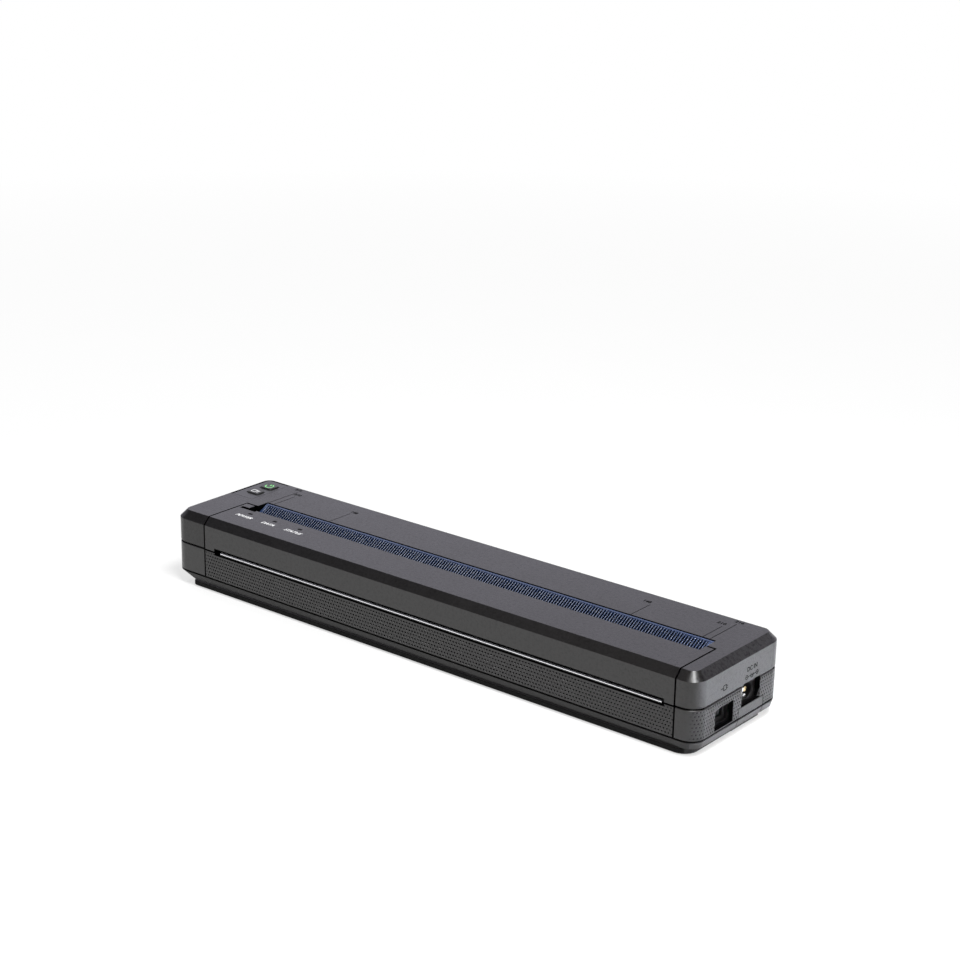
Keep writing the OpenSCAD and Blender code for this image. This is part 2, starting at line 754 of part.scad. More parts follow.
module control_panel() {
    fit = 0.1;
    color([0.24, 0.24, 0.25]) difference() {
        block(panel_x0 + fit, panel_x1 - fit, panel_y0 + fit, panel_y1 - fit, body_h - panel_t, body_h);
        button_hole(power_x, power_y, power_l, power_w, seam_z, body_h + over, button_gap);
        button_hole(power_x, feed_y, power_l, feed_w, seam_z, body_h + over, button_gap);
    }
}

// A button: its cap, the flange that keeps it under the shell, and the stem over its switch
module button(y, w) {
    flange_over = 0.6;
    flange_t = 0.8;
    flange_z = under_top - slide_gap - flange_t;
    stem_z = switch_board_z + board_t + switch_h + switch_gap;
    translate([power_x, y, flange_z]) linear_extrude(body_h + button_proud - flange_z) {
        square([power_l - 2 * button_r, w], center = true);
        square([power_l, w - 2 * button_r], center = true);
        for (sx = [-1, 1], sy = [-1, 1]) translate([sx * (power_l / 2 - button_r),
            sy * (w / 2 - button_r)]) circle(button_r);
    }
    button_hole(power_x, y, power_l, w, flange_z, flange_z + flange_t, flange_over);
    button_hole(power_x, y, stem_w, stem_w, stem_z, flange_z, 0);
}

module power_button() {
    color([0.3, 0.3, 0.32]) button(power_y, power_w);
}

module feed_button() {
    color([0.3, 0.3, 0.32]) button(feed_y, feed_w);
}

stay_r = 0.8;
stay_y = (power_y - power_w / 2 + feed_y + feed_w / 2) / 2;
stay_in = 1.2;
stay_places = [panel_x0 + stay_in, panel_x1 - stay_in];

module switch_board() {
    switch_w = 4;
    plunger_r = 1;
    plunger_h = 0.4;
    board_over = 2.6;
    board_in = 0.3;
    color(c_green) block(panel_x0 + board_in, panel_x1 - board_in, feed_y - board_over - feed_w / 2,
        power_y + power_w / 2, switch_board_z, switch_board_z + board_t);
    color(c_black) for (y = [power_y, feed_y]) {
        button_hole(power_x, y, switch_w, switch_w, switch_board_z + board_t,
            switch_board_z + board_t + switch_h - plunger_h, 0);
        post(power_x, y, switch_board_z + board_t + switch_h - plunger_h,
            switch_board_z + board_t + switch_h, plunger_r);
    }
}

// Steel side plates, and the screws through their feet
plate_screw_r = 0.9;
plate_foot_l = 5;
plate_foot_in = 8;
plate_foot_y = yf + plate_foot_in;
plate_foot_w = 5;
plate_screw_places = [[plate_l_x + plate_t + plate_foot_l / 2, plate_foot_y],
    [plate_r_x - plate_foot_l / 2, plate_foot_y]];
plate_front = 4;
plate_up = 5;
plate_top_rear = 6;
plate_top_front = 5.5;
bush_r = 2.6;
motor_boss_r = 3;
motor_screw_r = 0.8;
motor_screw_pitch = 5.5;
motor_screw_angles = [60, 240];

module plate_foot(x) {
    difference() {
        block(x, x + plate_foot_l, plate_foot_y - plate_foot_w / 2, plate_foot_y + plate_foot_w / 2,
            floor_z, floor_z + plate_t);
        post(x + plate_foot_l / 2, plate_foot_y, floor_z - over, floor_z + 2 * over, plate_screw_r);
    }
}

module left_side_plate() {
    rear_y = motor_y + motor_r + plate_t / 2;
    shoulder_drop = 1.8;
    shoulder_z = switch_board_z - shoulder_drop;
    color(c_steel) {
        difference() {
            section(plate_l_x, plate_l_x + plate_t, [[yf + plate_front, floor_z], [rear_y, floor_z],
                [rear_y, shoulder_z],
                [guide_rear, shoulder_z], [platen_y + plate_top_rear, platen_z + plate_up],
                [platen_y - plate_top_front, platen_z + plate_up], [yf + plate_front, platen_z]]);
            bar(plate_l_x - over, plate_l_x + 2 * over, platen_y, platen_z, bush_r);
            bar(plate_l_x - over, plate_l_x + 2 * over, post_y, post_z, post_r);
            bar(plate_l_x - over, plate_l_x + 2 * over, motor_y, motor_z, motor_boss_r);
            bar(plate_l_x - over, plate_l_x + 2 * over, head_pivot_y, head_pivot_z, head_rod_r);
            for (a = motor_screw_angles) bar(plate_l_x - over, plate_l_x + 2 * over,
                motor_y + motor_screw_pitch * cos(a), motor_z + motor_screw_pitch * sin(a), motor_screw_r);
        }
        plate_foot(plate_l_x + plate_t);
    }
}

module right_side_plate() {
    right_plate_d = 18;
    rear_y = yf + plate_front + right_plate_d;
    color(c_steel) {
        difference() {
            section(plate_r_x, plate_r_x + plate_t, [[yf + plate_front, floor_z], [rear_y, floor_z],
                [rear_y, platen_z - plate_up], [platen_y + plate_top_rear, platen_z + plate_up],
                [platen_y - plate_top_front, platen_z + plate_up], [yf + plate_front, platen_z]]);
            bar(plate_r_x - over, plate_r_x + 2 * over, platen_y, platen_z, bush_r);
            bar(plate_r_x - over, plate_r_x + 2 * over, head_pivot_y, head_pivot_z, head_rod_r);
        }
        plate_foot(plate_r_x - plate_foot_l);
    }
}

module plate_screws() {
    head_r = 1.7;
    head_t = 0.8;
    color(c_steel) for (p = plate_screw_places) {
        post(p[0], p[1], case_z + floor_t / 3, floor_z + plate_t, plate_screw_r);
        post(p[0], p[1], floor_z + plate_t, floor_z + plate_t + head_t, head_r);
    }
}

roller_end = 0.5;
roller_x0 = centre_x - sheet_w / 2 - roller_end;
roller_x1 = centre_x + sheet_w / 2 + roller_end;

module platen_roller() {
    color(c_black) difference() {
        bar(roller_x0, roller_x1, platen_y, platen_z, platen_r);
        bar(roller_x0 - over, roller_x1 + over, platen_y, platen_z, platen_core_r);
    }
}

module platen_shaft() {
    shoulder = 0.8;
    journal_over = 0.4;
    color(c_steel) {
        bar(roller_x0 - shoulder, roller_x1 + shoulder, platen_y, platen_z, platen_core_r);
        bar(gear_x0, roller_x0 - shoulder, platen_y, platen_z, journal_r);
        bar(roller_x1 + shoulder, plate_r_x + plate_t + journal_over, platen_y, platen_z, journal_r);
    }
}

module platen_bushes() {
    flange_r = 3.2;
    flange_t = 0.5;
    color(c_white) difference() {
        union() {
            bar(plate_l_x, plate_l_x + plate_t, platen_y, platen_z, bush_r);
            bar(plate_l_x + plate_t, plate_l_x + plate_t + flange_t, platen_y, platen_z, flange_r);
            bar(plate_r_x, plate_r_x + plate_t, platen_y, platen_z, bush_r);
            bar(plate_r_x - flange_t, plate_r_x, platen_y, platen_z, flange_r);
        }
        bar(plate_l_x - over, plate_r_x + 2 * over, platen_y, platen_z, journal_r + run_gap);
    }
}

// Involute teeth with thinned flanks, one tooth centred on turn
pressure = 20;
root_share = 1.25;
tip_share = 0.85;
start_share = 1.001;
function involute(a) = tan(a) * 180 / PI - a;
function gear_points(teeth, turn) = let (
    r = teeth * gear_module / 2, base = r * cos(pressure), root = r - root_share * gear_module,
    tip = r + tip_share * gear_module, start = max(base, root) * start_share,
    radii = [root, start, (start + r) / 2, r, (r + tip) / 2, tip],
    half = [for (q = radii) 90 / teeth + involute(pressure) - involute(acos(min(1, base / max(q, start))))
        - backlash_deg * small_teeth / teeth])
    [for (t = [0:teeth - 1]) let (a = turn + 360 * t / teeth) each concat(
        [for (j = [0:5]) radii[j] * [cos(a - half[j]), sin(a - half[j])]],
        [for (j = [5:-1:0]) radii[j] * [cos(a + half[j]), sin(a + half[j])]])];

module gear(x, y, z, w, teeth, turn, bore_r) {
    across(x, y, z) difference() {
        linear_extrude(w) polygon(gear_points(teeth, turn));
        translate([0, 0, -over]) cylinder(h = w + 2 * over, r = bore_r);
    }
}

module platen_gear() {
    color(c_white) gear(gear_x0, platen_y, platen_z, gear_w, platen_teeth, mesh_angle_1, journal_r);
}

module reduction_gear() {
    color(c_white) {
        gear(gear_x0, post_y, post_z, gear_w, small_teeth, mesh_angle_1 + 180 + 180 / small_teeth,
            post_r + run_gap);
        gear(large_x0, post_y, post_z, large_w, large_teeth, mesh_angle_2, post_r + run_gap);
        across(large_x1, post_y, post_z) difference() {
            cylinder(h = gear_gap, r = small_pitch_r - gear_module * root_share);
            translate([0, 0, -over]) cylinder(h = gear_gap + 2 * over, r = post_r + run_gap);
        }
    }
}

module gear_post() {
    head_r = 1.8;
    head_t = 0.5;
    head_gap = 0.2;
    color(c_steel) {
        bar(large_x0 - head_gap, plate_l_x + plate_t, post_y, post_z, post_r);
        bar(large_x0 - head_gap - head_t, large_x0 - head_gap, post_y, post_z, head_r);
    }
}

module motor_pinion() {
    color([0.75, 0.6, 0.3]) gear(large_x0, motor_y, motor_z, large_w, pinion_teeth,
        mesh_angle_2 + 180 + 180 / pinion_teeth, motor_shaft_r);
}

motor_shaft_in = 3;

module motor_shaft() {
    color(c_steel) bar(large_x0 - gear_gap, plate_l_x + plate_t + motor_shaft_in, motor_y, motor_z,
        motor_shaft_r);
}

module drive_motor() {
    cap_t = 1.5;
    screw_in = 2;
    x0 = plate_l_x + plate_t;
    color([0.5, 0.5, 0.52]) difference() {
        union() {
            bar(x0, x0 + motor_l, motor_y, motor_z, motor_r);
            bar(plate_l_x, x0, motor_y, motor_z, motor_boss_r);
        }
        bar(plate_l_x - over, x0 + motor_shaft_in + cap_t, motor_y, motor_z, motor_shaft_r + run_gap);
        for (a = motor_screw_angles) bar(x0 - over, x0 + screw_in, motor_y + motor_screw_pitch * cos(a),
            motor_z + motor_screw_pitch * sin(a), motor_screw_r);
    }
}

module motor_screws() {
    head_r = 1.5;
    head_t = 0.8;
    screw_in = 2;
    color(c_steel) for (a = motor_screw_angles) {
        y = motor_y + motor_screw_pitch * cos(a);
        z = motor_z + motor_screw_pitch * sin(a);
        bar(plate_l_x - head_t, plate_l_x, y, z, head_r);
        bar(plate_l_x, plate_l_x + plate_t + screw_in, y, z, motor_screw_r);
    }
}

// A point at s along the head's face from the contact line, and out behind it by o
function head_at(s, o) = [nip_y + face_y * s + back_y * o, nip_z + face_z * s + back_z * o];
head_x0 = centre_x - sheet_w / 2;
head_x1 = centre_x + sheet_w / 2;
sink_o0 = paper_gap + ceramic_t;
sink_o1 = sink_o0 + sink_t;

// Springs that press the head up against the platen
spring_rear = 7.5;
spring_down = 5.4;
spring_post_h = 4.8;
spring_y = platen_y + spring_rear;
spring_top = platen_z - spring_down;
spring_foot = floor_z + spring_post_h;
spring_r = 1.5;
spring_wire_r = 0.28;
spring_turns = 5;
spring_spread = 78;
spring_places = [for (k = [-1:1]) centre_x + k * spring_spread];

module print_head() {
    color([0.85, 0.82, 0.7]) section(head_x0, head_x1, [head_at(-ceramic_front, paper_gap),
        head_at(ceramic_rear, paper_gap),
        head_at(ceramic_rear, sink_o0), head_at(-ceramic_front, sink_o0)]);
}

module head_heat_sink() {
    seat_r = 2.3;
    seat_t = 1.2;
    s0 = -ceramic_front - sink_over;
    s1 = ceramic_rear + sink_over;
    color([0.7, 0.71, 0.73]) difference() {
        union() {
            section(head_x0, head_x1, [head_at(s0, sink_o0), head_at(s1, sink_o0), head_at(s1, sink_o1),
                head_at(s0, sink_o1)]);
            for (x = [head_x0, head_x1 - lug_t]) {
                section(x, x + lug_t, [head_at(s0, sink_o0), head_at(0, sink_o1),
                    [head_pivot_y + lug_r, head_pivot_z], [head_pivot_y - lug_r, head_pivot_z]]);
                bar(x, x + lug_t, head_pivot_y, head_pivot_z, lug_r);
            }
            for (x = spring_places) post(x, spring_y, spring_top, spring_top + seat_t, seat_r);
        }
        for (x = spring_places) post(x, spring_y, spring_foot, spring_top, seat_r);
        bar(head_x0 - over, head_x1 + over, head_pivot_y, head_pivot_z, head_rod_r + run_gap);
    }
}

module head_pivot_rod() {
    color(c_steel) bar(plate_l_x, plate_r_x + plate_t, head_pivot_y, head_pivot_z, head_rod_r);
}

// A coil spring standing on z0, as one tube of six sides swept along a helix
module coil(x, y, z0, z1, r, wire_r, turns) {
    steps = 12 * turns;
    sides = 6;
    rise = z1 - z0 - 2 * wire_r;
    points = [for (i = [0:steps]) let (a = 360 * i / 12) for (j = [0:sides - 1]) let (b = 360 * j / sides)
        [x + (r + wire_r * cos(b)) * cos(a), y + (r + wire_r * cos(b)) * sin(a),
            z0 + wire_r + rise * i / steps + wire_r * sin(b)]];
    skin = [for (i = [0:steps - 1]) for (j = [0:sides - 1]) let (k = (j + 1) % sides) each
        [[i * sides + j, (i + 1) * sides + j, i * sides + k], [i * sides + k, (i + 1) * sides + j,
            (i + 1) * sides + k]]];
    polyhedron(points, concat(skin, [[for (j = [0:sides - 1]) j]],
        [[for (j = [sides - 1:-1:0]) steps * sides + j]]), convexity = 10);
}

module head_springs() {
    color(c_steel) for (x = spring_places) coil(x, spring_y, spring_foot, spring_top, spring_r,
        spring_wire_r, spring_turns);
}

// Flat cable from the head to its connector on the main board
module head_ribbon() {
    ribbon_w = 34;
    ribbon_t = 0.3;
    plug_w = 3;
    plug_h = 1.5;
    plug_front = 6.5;
    y0 = platen_y - plug_front;
    top_end = head_at(-ceramic_front - 2 * sink_over, 2 * ceramic_t + sink_over);
    color([0.85, 0.85, 0.8]) section(centre_x - ribbon_w / 2, centre_x + ribbon_w / 2, [
        [y0, board_top], [y0 + plug_w, board_top], [y0 + plug_w, board_top + plug_h],
        [y0 + plug_w / 2 + ribbon_t, board_top + plug_h], [y0 + plug_w / 2 + ribbon_t,
            head_pivot_z + lug_r],
        top_end, [top_end[0] - ribbon_t, top_end[1] + ribbon_t],
        [y0 + plug_w / 2, head_pivot_z + lug_r + ribbon_t], [y0 + plug_w / 2, board_top + plug_h],
            [y0, board_top + plug_h]]);
}

module paper_sensor() {
    sensor_l = 8;
    sensor_w = 2.5;
    sensor_h = 4;
    y1 = bay_y0 - bay_wall;
    z1 = pack_z0 + pack_h - over;
    color(c_black) block(centre_x, centre_x + sensor_l, y1 - sensor_w, y1, z1 - sensor_h, z1);
}

main_left_in = 18;
main_right_in = 22.4;
main_front_in = 3;
main_w = 13;
main_x0 = cover_x0 + main_left_in;
main_x1 = cover_x1 - main_right_in;
main_y0 = yf + main_front_in;
main_y1 = main_y0 + main_w;
io_right_in = 4.2;
io_narrow_l = 6.9;
io_l = 21.3;
io_front_in = 11;
io_narrow_w = 13.5;
io_w = 16.5;
io_x1 = xr - io_right_in;
io_mid = io_x1 - io_narrow_l;
io_x0 = io_x1 - io_l;
io_y0 = yf + io_front_in;
io_y1 = io_y0 + io_narrow_w;
io_y2 = io_y1 + io_w;
post_in = 2;
post_far_in = 8;
board_places = concat(
    [for (x = [main_x0 + post_far_in, centre_x - post_far_in, main_x1 - post_far_in])
        for (y = [main_y0 + post_in, main_y1 - post_in]) [x, y]],
    [[io_x1 - post_in, io_y0 + post_in], [io_x0 + post_in, io_y2 - post_in],
        [io_x1 - 2 * post_in, io_y2 - post_in]]);

module main_board() {
    chip_h = 0.9;
    chip_w = 5;
    chip_in = 4.5;
    chip_shares = [0.1, 0.24, 0.7, 0.84];
    color(c_green) block(main_x0, main_x1, main_y0, main_y1, board_z, board_top);
    color(c_black) for (s = chip_shares) let (x = main_x0 + (main_x1 - main_x0) * s)
        block(x - chip_w, x + chip_w, main_y0 + chip_in, main_y0 + chip_in + chip_w, board_top,
            board_top + chip_h);
}

module interface_board() {
    color(c_green) {
        block(io_mid, io_x1, io_y0, io_y1, board_z, board_top);
        block(io_x0, io_x1, io_y1, io_y2, board_z, board_top);
    }
}

module cable_socket() {
    shell_w = 7.7;
    shell_h = 3.9;
    shell_t = 0.4;
    back_t = 1.5;
    shell_in = 4.6;
    tongue_w = 5;
    tongue_h = 1;
    x1 = xr - shell_in;
    color(c_steel) {
        difference() {
            block(io_mid, x1, port_y - shell_w / 2, port_y + shell_w / 2, board_top, board_top + shell_h);
            block(io_mid + back_t, x1 + over, port_y - shell_w / 2 + shell_t,
                port_y + shell_w / 2 - shell_t,
                board_top + shell_t, board_top + shell_h - shell_t);
        }
        block(io_mid + back_t, x1 - over, port_y - tongue_w / 2, port_y + tongue_w / 2,
            board_top + shell_h / 2, board_top + shell_h / 2 + tongue_h);
    }
}

jack_gap = 0.1;
jack_x1 = xr - inlet_d - inlet_back - jack_gap;
jack_x0 = jack_x1 - jack_body_l;
jack_back = 2.4;

module power_inlet() {
    body_up = 4.4;
    color(c_black) difference() {
        union() {
            block(jack_x0, jack_x1, jack_y - jack_body_w / 2, jack_y + jack_body_w / 2, board_top,
                jack_z + body_up);
            bar(jack_x1, xr - inlet_d, jack_y, jack_z, jack_r + jack_barrel_t);
        }
        bar(jack_x0 + jack_back, xr, jack_y, jack_z, jack_r);
        bar(jack_x0 + jack_back / 2, xr, jack_y, jack_z, jack_pin_r);
    }
}

module inlet_pin() {
    pin_in = 0.8;
    color([0.8, 0.7, 0.4]) bar(jack_x0 + jack_back / 2, xr - inlet_d - pin_in, jack_y, jack_z, jack_pin_r);
}

// Two leaves of the outer contact, on the front side of the inlet
module inlet_contact() {
    leaf_t = 0.4;
    leaf_w = 1.4;
    leaf_apart = 0.5;
    leaf_out = 0.5;
    leaf_share = 0.78;
    leaf_y = jack_y - jack_r * leaf_share;
    color(c_steel) for (s = [-1, 1]) block(jack_x0 + jack_back, xr - inlet_d - leaf_out, leaf_y,
        leaf_y + leaf_t,
        jack_z + s * (leaf_apart + leaf_w / 2) - leaf_w / 2,
            jack_z + s * (leaf_apart + leaf_w / 2) + leaf_w / 2);
}

module battery_pack() {
    bevel = 1.5;
    y1 = pack_y0 + pack_w;
    z1 = pack_z0 + pack_h;
    color([0.12, 0.12, 0.13]) section(pack_x0, pack_x1, [[pack_y0 + bevel, pack_z0],
        [y1 - bevel, pack_z0], [y1, pack_z0 + bevel],
        [y1, z1 - bevel], [y1 - bevel, z1], [pack_y0 + bevel, z1], [pack_y0, z1 - bevel],
            [pack_y0, pack_z0 + bevel]]);
}

module battery_contacts() {
    blade_t = 0.8;
    blade_apart = 3;
    blade_share = 0.3;
    color([0.8, 0.7, 0.4]) for (i = [-1:1]) let (y = pack_y0 + pack_w / 2 + i * blade_apart)
        block(pack_x1, bay_x1, y - blade_t / 2, y + blade_t / 2, pack_z0 + pack_h * blade_share / 2,
            pack_z0 + pack_h * blade_share);
}

// Sliding cover of the battery bay, with the tab that shows in the right end
module battery_cover() {
    tab_t = 1.3;
    plate_z = plinth_z + door_lift;
    flange_z = plinth_z + door_lip + slide_gap;
    top_z = flange_z + door_flange_t;
    color(c_smooth) {
        difference() {
            block(door_x0, door_x1, door_y0, door_y1, plate_z, top_z);
            foot_at(door_foot_place, 0, plinth_z + foot_seat);
        }
        block(door_x0, door_x1, door_y0 - door_flange, door_y1 + door_flange, flange_z, top_z);
        translate([0, tab_y1, 0]) rotate([90, 0, 0]) linear_extrude(tab_y1 - tab_y0) polygon([
            [door_x1 - door_link, plate_z], [door_x1, plate_z], [door_x1, case_z - slide_gap],
            [xr - lip_in, case_z], [xr, lip_z], [xr - line_d, lip_z], [xr - line_d, skirt_z],
            [xr, skirt_z], [xr, tab_z1], [xr - tab_t, tab_z1], [xr - tab_t, skirt_z + tab_t / 2],
            [door_x1 - door_link, case_z]]);
    }
}

// The foot at the rear right, carried by the sliding cover
module cover_foot() {
    color(c_black) foot_at(door_foot_place, 0, plinth_z + foot_seat);
}

top_cover();
bottom_case();
front_panel();
release_cover();
hinge_pins();
status_light_guide();
status_leds();
paper_guide();
tear_bar();
control_panel();
power_button();
feed_button();
switch_board();
left_side_plate();
right_side_plate();
platen_roller();
platen_shaft();
platen_bushes();
platen_gear();
reduction_gear();
gear_post();
motor_pinion();
motor_shaft();
drive_motor();
motor_screws();
print_head();
head_heat_sink();
head_pivot_rod();
head_springs();
head_ribbon();
paper_sensor();
main_board();
interface_board();
cable_socket();
power_inlet();
inlet_pin();
inlet_contact();
battery_pack();
battery_contacts();
battery_cover();
rubber_feet();
cover_foot();
case_screws();
plate_screws();
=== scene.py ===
# %% [markdown]
# # Dressing a portable thermal printer
# The printer comes from CAD as plain solids, one for each real piece, each in its place and in
# metres. This lesson softens their edges, prints the marks on them, gives every plastic, rubber
# and metal its own surface, and lights them like a catalogue picture. First the solids are loaded.
# They are never moved: a piece that needs another shape is copied, and the copy stands in for it.

# %% Load the printer
import json
import math
import bpy
from mathutils import Matrix, Vector

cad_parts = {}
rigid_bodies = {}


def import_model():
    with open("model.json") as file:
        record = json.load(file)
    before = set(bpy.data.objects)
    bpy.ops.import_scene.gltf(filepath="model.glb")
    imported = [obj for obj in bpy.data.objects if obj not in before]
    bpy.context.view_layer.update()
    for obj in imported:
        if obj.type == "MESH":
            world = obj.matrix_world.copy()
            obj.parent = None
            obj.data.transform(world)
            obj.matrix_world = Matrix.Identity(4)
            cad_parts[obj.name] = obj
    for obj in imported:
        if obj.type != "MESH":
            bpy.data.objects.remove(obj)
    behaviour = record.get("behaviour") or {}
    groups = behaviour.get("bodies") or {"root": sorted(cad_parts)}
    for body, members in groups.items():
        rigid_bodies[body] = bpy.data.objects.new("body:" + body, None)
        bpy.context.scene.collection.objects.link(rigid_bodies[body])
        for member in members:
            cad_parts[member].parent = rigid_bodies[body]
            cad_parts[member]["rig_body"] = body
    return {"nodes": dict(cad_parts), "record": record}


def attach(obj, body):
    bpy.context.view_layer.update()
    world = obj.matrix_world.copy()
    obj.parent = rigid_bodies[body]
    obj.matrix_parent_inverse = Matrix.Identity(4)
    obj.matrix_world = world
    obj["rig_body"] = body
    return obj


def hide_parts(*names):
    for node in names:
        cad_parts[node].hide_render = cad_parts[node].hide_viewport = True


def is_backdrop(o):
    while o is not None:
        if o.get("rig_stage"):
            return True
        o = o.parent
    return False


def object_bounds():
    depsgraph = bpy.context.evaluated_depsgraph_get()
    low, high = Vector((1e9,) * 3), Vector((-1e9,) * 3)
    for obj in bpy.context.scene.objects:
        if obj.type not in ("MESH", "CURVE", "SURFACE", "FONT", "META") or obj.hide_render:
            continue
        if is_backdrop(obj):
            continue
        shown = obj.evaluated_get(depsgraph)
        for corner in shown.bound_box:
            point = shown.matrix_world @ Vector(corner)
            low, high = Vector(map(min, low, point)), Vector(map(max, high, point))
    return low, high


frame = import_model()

mm = 0.001
scene = bpy.context.scene
nodes = frame["nodes"]
cad_box = [list(corner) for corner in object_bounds()]
slot_of = {part["node"]: part["material_slot"] for part in frame["record"]["subparts"]}
body_of = {name: node["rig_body"] for name, node in nodes.items()}
print("pieces from CAD:", len(nodes))
print("size in mm:", [round((b - a) / mm, 1) for a, b in zip(*cad_box)])

# %% [markdown]
# ## The camera
# A camera could be placed by eye. Here it was fitted: the edges of the casing, the cover and the
# sheet marks were laid over the same edges in the photograph, and the angles, the distance and the
# focal length were turned until they met. It stands right of the printer, a little above it, and
# leans by less than a degree.

# %% Place the camera
turn, rise, lean = (math.radians(a) for a in (38.74, 18.86, 0.93))
distance = 809.2 * mm
lens_mm = 79.07
aim_right = 7.84 * mm
aim_up = 46.74 * mm
printer_middle = Vector((0, 0, 16.2 * mm))

back = Vector((math.sin(turn) * math.cos(rise), -math.cos(turn) * math.cos(rise), math.sin(rise)))
right = Vector((math.cos(turn), math.sin(turn), 0))
up = back.cross(right)
aim = printer_middle + right * aim_right + up * aim_up
leaning_right = right * math.cos(lean) + up * math.sin(lean)
leaning_up = up * math.cos(lean) - right * math.sin(lean)

camera = bpy.data.objects.new("camera", bpy.data.cameras.new("camera"))
scene.collection.objects.link(camera)
camera.data.lens = lens_mm
camera.data.sensor_width = 36
camera.data.clip_start = 0.01
axes = Matrix((leaning_right, leaning_up, back)).transposed().to_4x4()
camera.matrix_world = Matrix.Translation(aim + back * distance) @ axes
scene.camera = camera
print("camera stands at, in mm:", [round(c / mm) for c in camera.matrix_world.translation])

# %% [markdown]
# ## Writing shaders as sums
# A surface that changes from place to place needs dozens of small nodes, and wiring them one by one
# hides the idea. A thin wrapper round a socket lets the maths be written as it is thought:
# `1 - dots * 0.4` adds the nodes for it. Every other kind of node comes from one method.

# %% A socket that can be calculated with
def feed(plug, value):
    """Sets a socket to a number or a colour, or links it to a wrapped socket."""
    if isinstance(value, Wire):
        plug.id_data.links.new(value.socket, plug)
    else:
        plug.default_value = value


class Wire:
    """One output of a node. Sums, products and comparisons on it add Math nodes."""

    def __init__(self, socket):
        self.socket = socket

    def math(self, operation, *values):
        node = self.socket.id_data.nodes.new("ShaderNodeMath")
        node.operation = operation
        for plug, value in zip(node.inputs, values):
            feed(plug, value)
        return Wire(node.outputs[0])

    def __add__(self, other):
        return self.math("ADD", self, other)

    __radd__ = __add__

    def __sub__(self, other):
        return self.math("SUBTRACT", self, other)

    def __rsub__(self, other):
        return self.math("SUBTRACT", other, self)

    def __mul__(self, other):
        return self.math("MULTIPLY", self, other)

    __rmul__ = __mul__

    def __truediv__(self, other):
        return self.math("DIVIDE", self, other)

    def __lt__(self, other):
        return self.math("LESS_THAN", self, other)

    def __gt__(self, other):
        return self.math("GREATER_THAN", self, other)

    def __abs__(self):
        return self.math("ABSOLUTE", self)

    def alone(self, operation):
        """A Math node that needs one input, such as FLOOR or SQRT."""
        return self.math(operation, self)

    def lesser(self, other):
        return self.math("MINIMUM", self, other)

    def limit(self, low=0.0, high=1.0):
        return self.math("MAXIMUM", self, low).lesser(high)


# %% A material that is written in one place
class Finish:
    """A material with its nodes. node() adds any node: its kind, its settings, then its sockets."""

    def __init__(self, name, tree=None):
        self.material = None
        if tree is None:
            self.material = bpy.data.materials.new(name)
            self.material.use_nodes = True
            tree = self.material.node_tree
        self.tree = tree
        tree.nodes.clear()

    def node(self, kind, settings=None, sockets=None, out=0):
        node = self.tree.nodes.new(kind)
        for name, value in (settings or {}).items():
            setattr(node, name, value)
        for name, value in (sockets or {}).items():
            feed(node.inputs[name], value)
        return Wire(node.outputs[out]) if node.outputs else node

    def place(self):
        """The place on the piece, in millimetres, as a vector and as three numbers."""
        here = self.node("ShaderNodeTexCoord", out="Object")
        here = self.node("ShaderNodeVectorMath", {"operation": "SCALE"}, {0: here, "Scale": 1 / mm})
        parts = self.node("ShaderNodeSeparateXYZ", sockets={0: here}).socket.node
        return here, *(Wire(parts.outputs[i]) for i in range(3))

    def facing(self):
        """How far the real face, without bump, points along each axis."""
        normal = self.node("ShaderNodeTexCoord", out="Normal")
        parts = self.node("ShaderNodeSeparateXYZ", sockets={0: normal}).socket.node
        return [Wire(parts.outputs[i]) for i in range(3)]

    def noise(self, here, per_mm, detail=2.0, roughness=0.5):
        return self.node("ShaderNodeTexNoise", sockets={
            "Vector": here, "Scale": per_mm, "Detail": detail, "Roughness": roughness})

    def mix(self, share, a, b):
        """Colour a where share is 0 and colour b where it is 1."""
        return self.node("ShaderNodeMix", {"data_type": "RGBA"}, {0: share, 6: a, 7: b}, out=2)

    def bump(self, height, depth_mm, normal=None):
        """The normal of a relief whose height runs from 0 to 1, depth_mm deep."""
        sockets = {"Height": height, "Distance": depth_mm * mm, "Strength": 1.0}
        if normal is not None:
            sockets["Normal"] = normal
        return self.node("ShaderNodeBump", sockets=sockets)

    def show(self, **sockets):
        """Closes the material with a Principled BSDF, the sockets named with _ for a space.

        Unlit is the share painted black, as shade in a gap or a hole where no light comes back."""
        named = {name.replace("_", " "): value for name, value in sockets.items()}
        unlit = named.pop("Unlit", None)
        shader = self.node("ShaderNodeBsdfPrincipled", sockets=named)
        if unlit is not None:
            void = self.node("ShaderNodeBsdfPrincipled", sockets={
                "Base Color": grey(0.002), "Roughness": 1.0, "Specular IOR Level": 0.0})
            shader = self.node("ShaderNodeMixShader", sockets={0: unlit, 1: shader, 2: void})
        self.node("ShaderNodeOutputMaterial", sockets={"Surface": shader})
        return self.material


def grey(level, tint=(1.0, 1.0, 1.0)):
    """A colour of one level, or of one level with a slight tint."""
    return (level * tint[0], level * tint[1], level * tint[2], 1.0)


print("shader tools ready")

# %% [markdown]
# ## The studio
# The photograph was taken on a white table before a white sweep, with a large lamp overhead. Dark
# plastic has almost no colour of its own, so nearly all that is seen on it is the studio mirrored
# in it: the top mirrors the sweep, the front mirrors the table, and the bevels mirror the dark
# ceiling. A world that is white near the horizon and dark above gives the same mirror.

# %% The sweep and the ceiling
horizon_white = 1.0
horizon_tint = (0.96, 0.94, 1.07)
ceiling_dark = 0.03
sweep_ends = 0.45
ceiling_starts = 0.55
lower_on_right = 0.08
world_light = 0.32

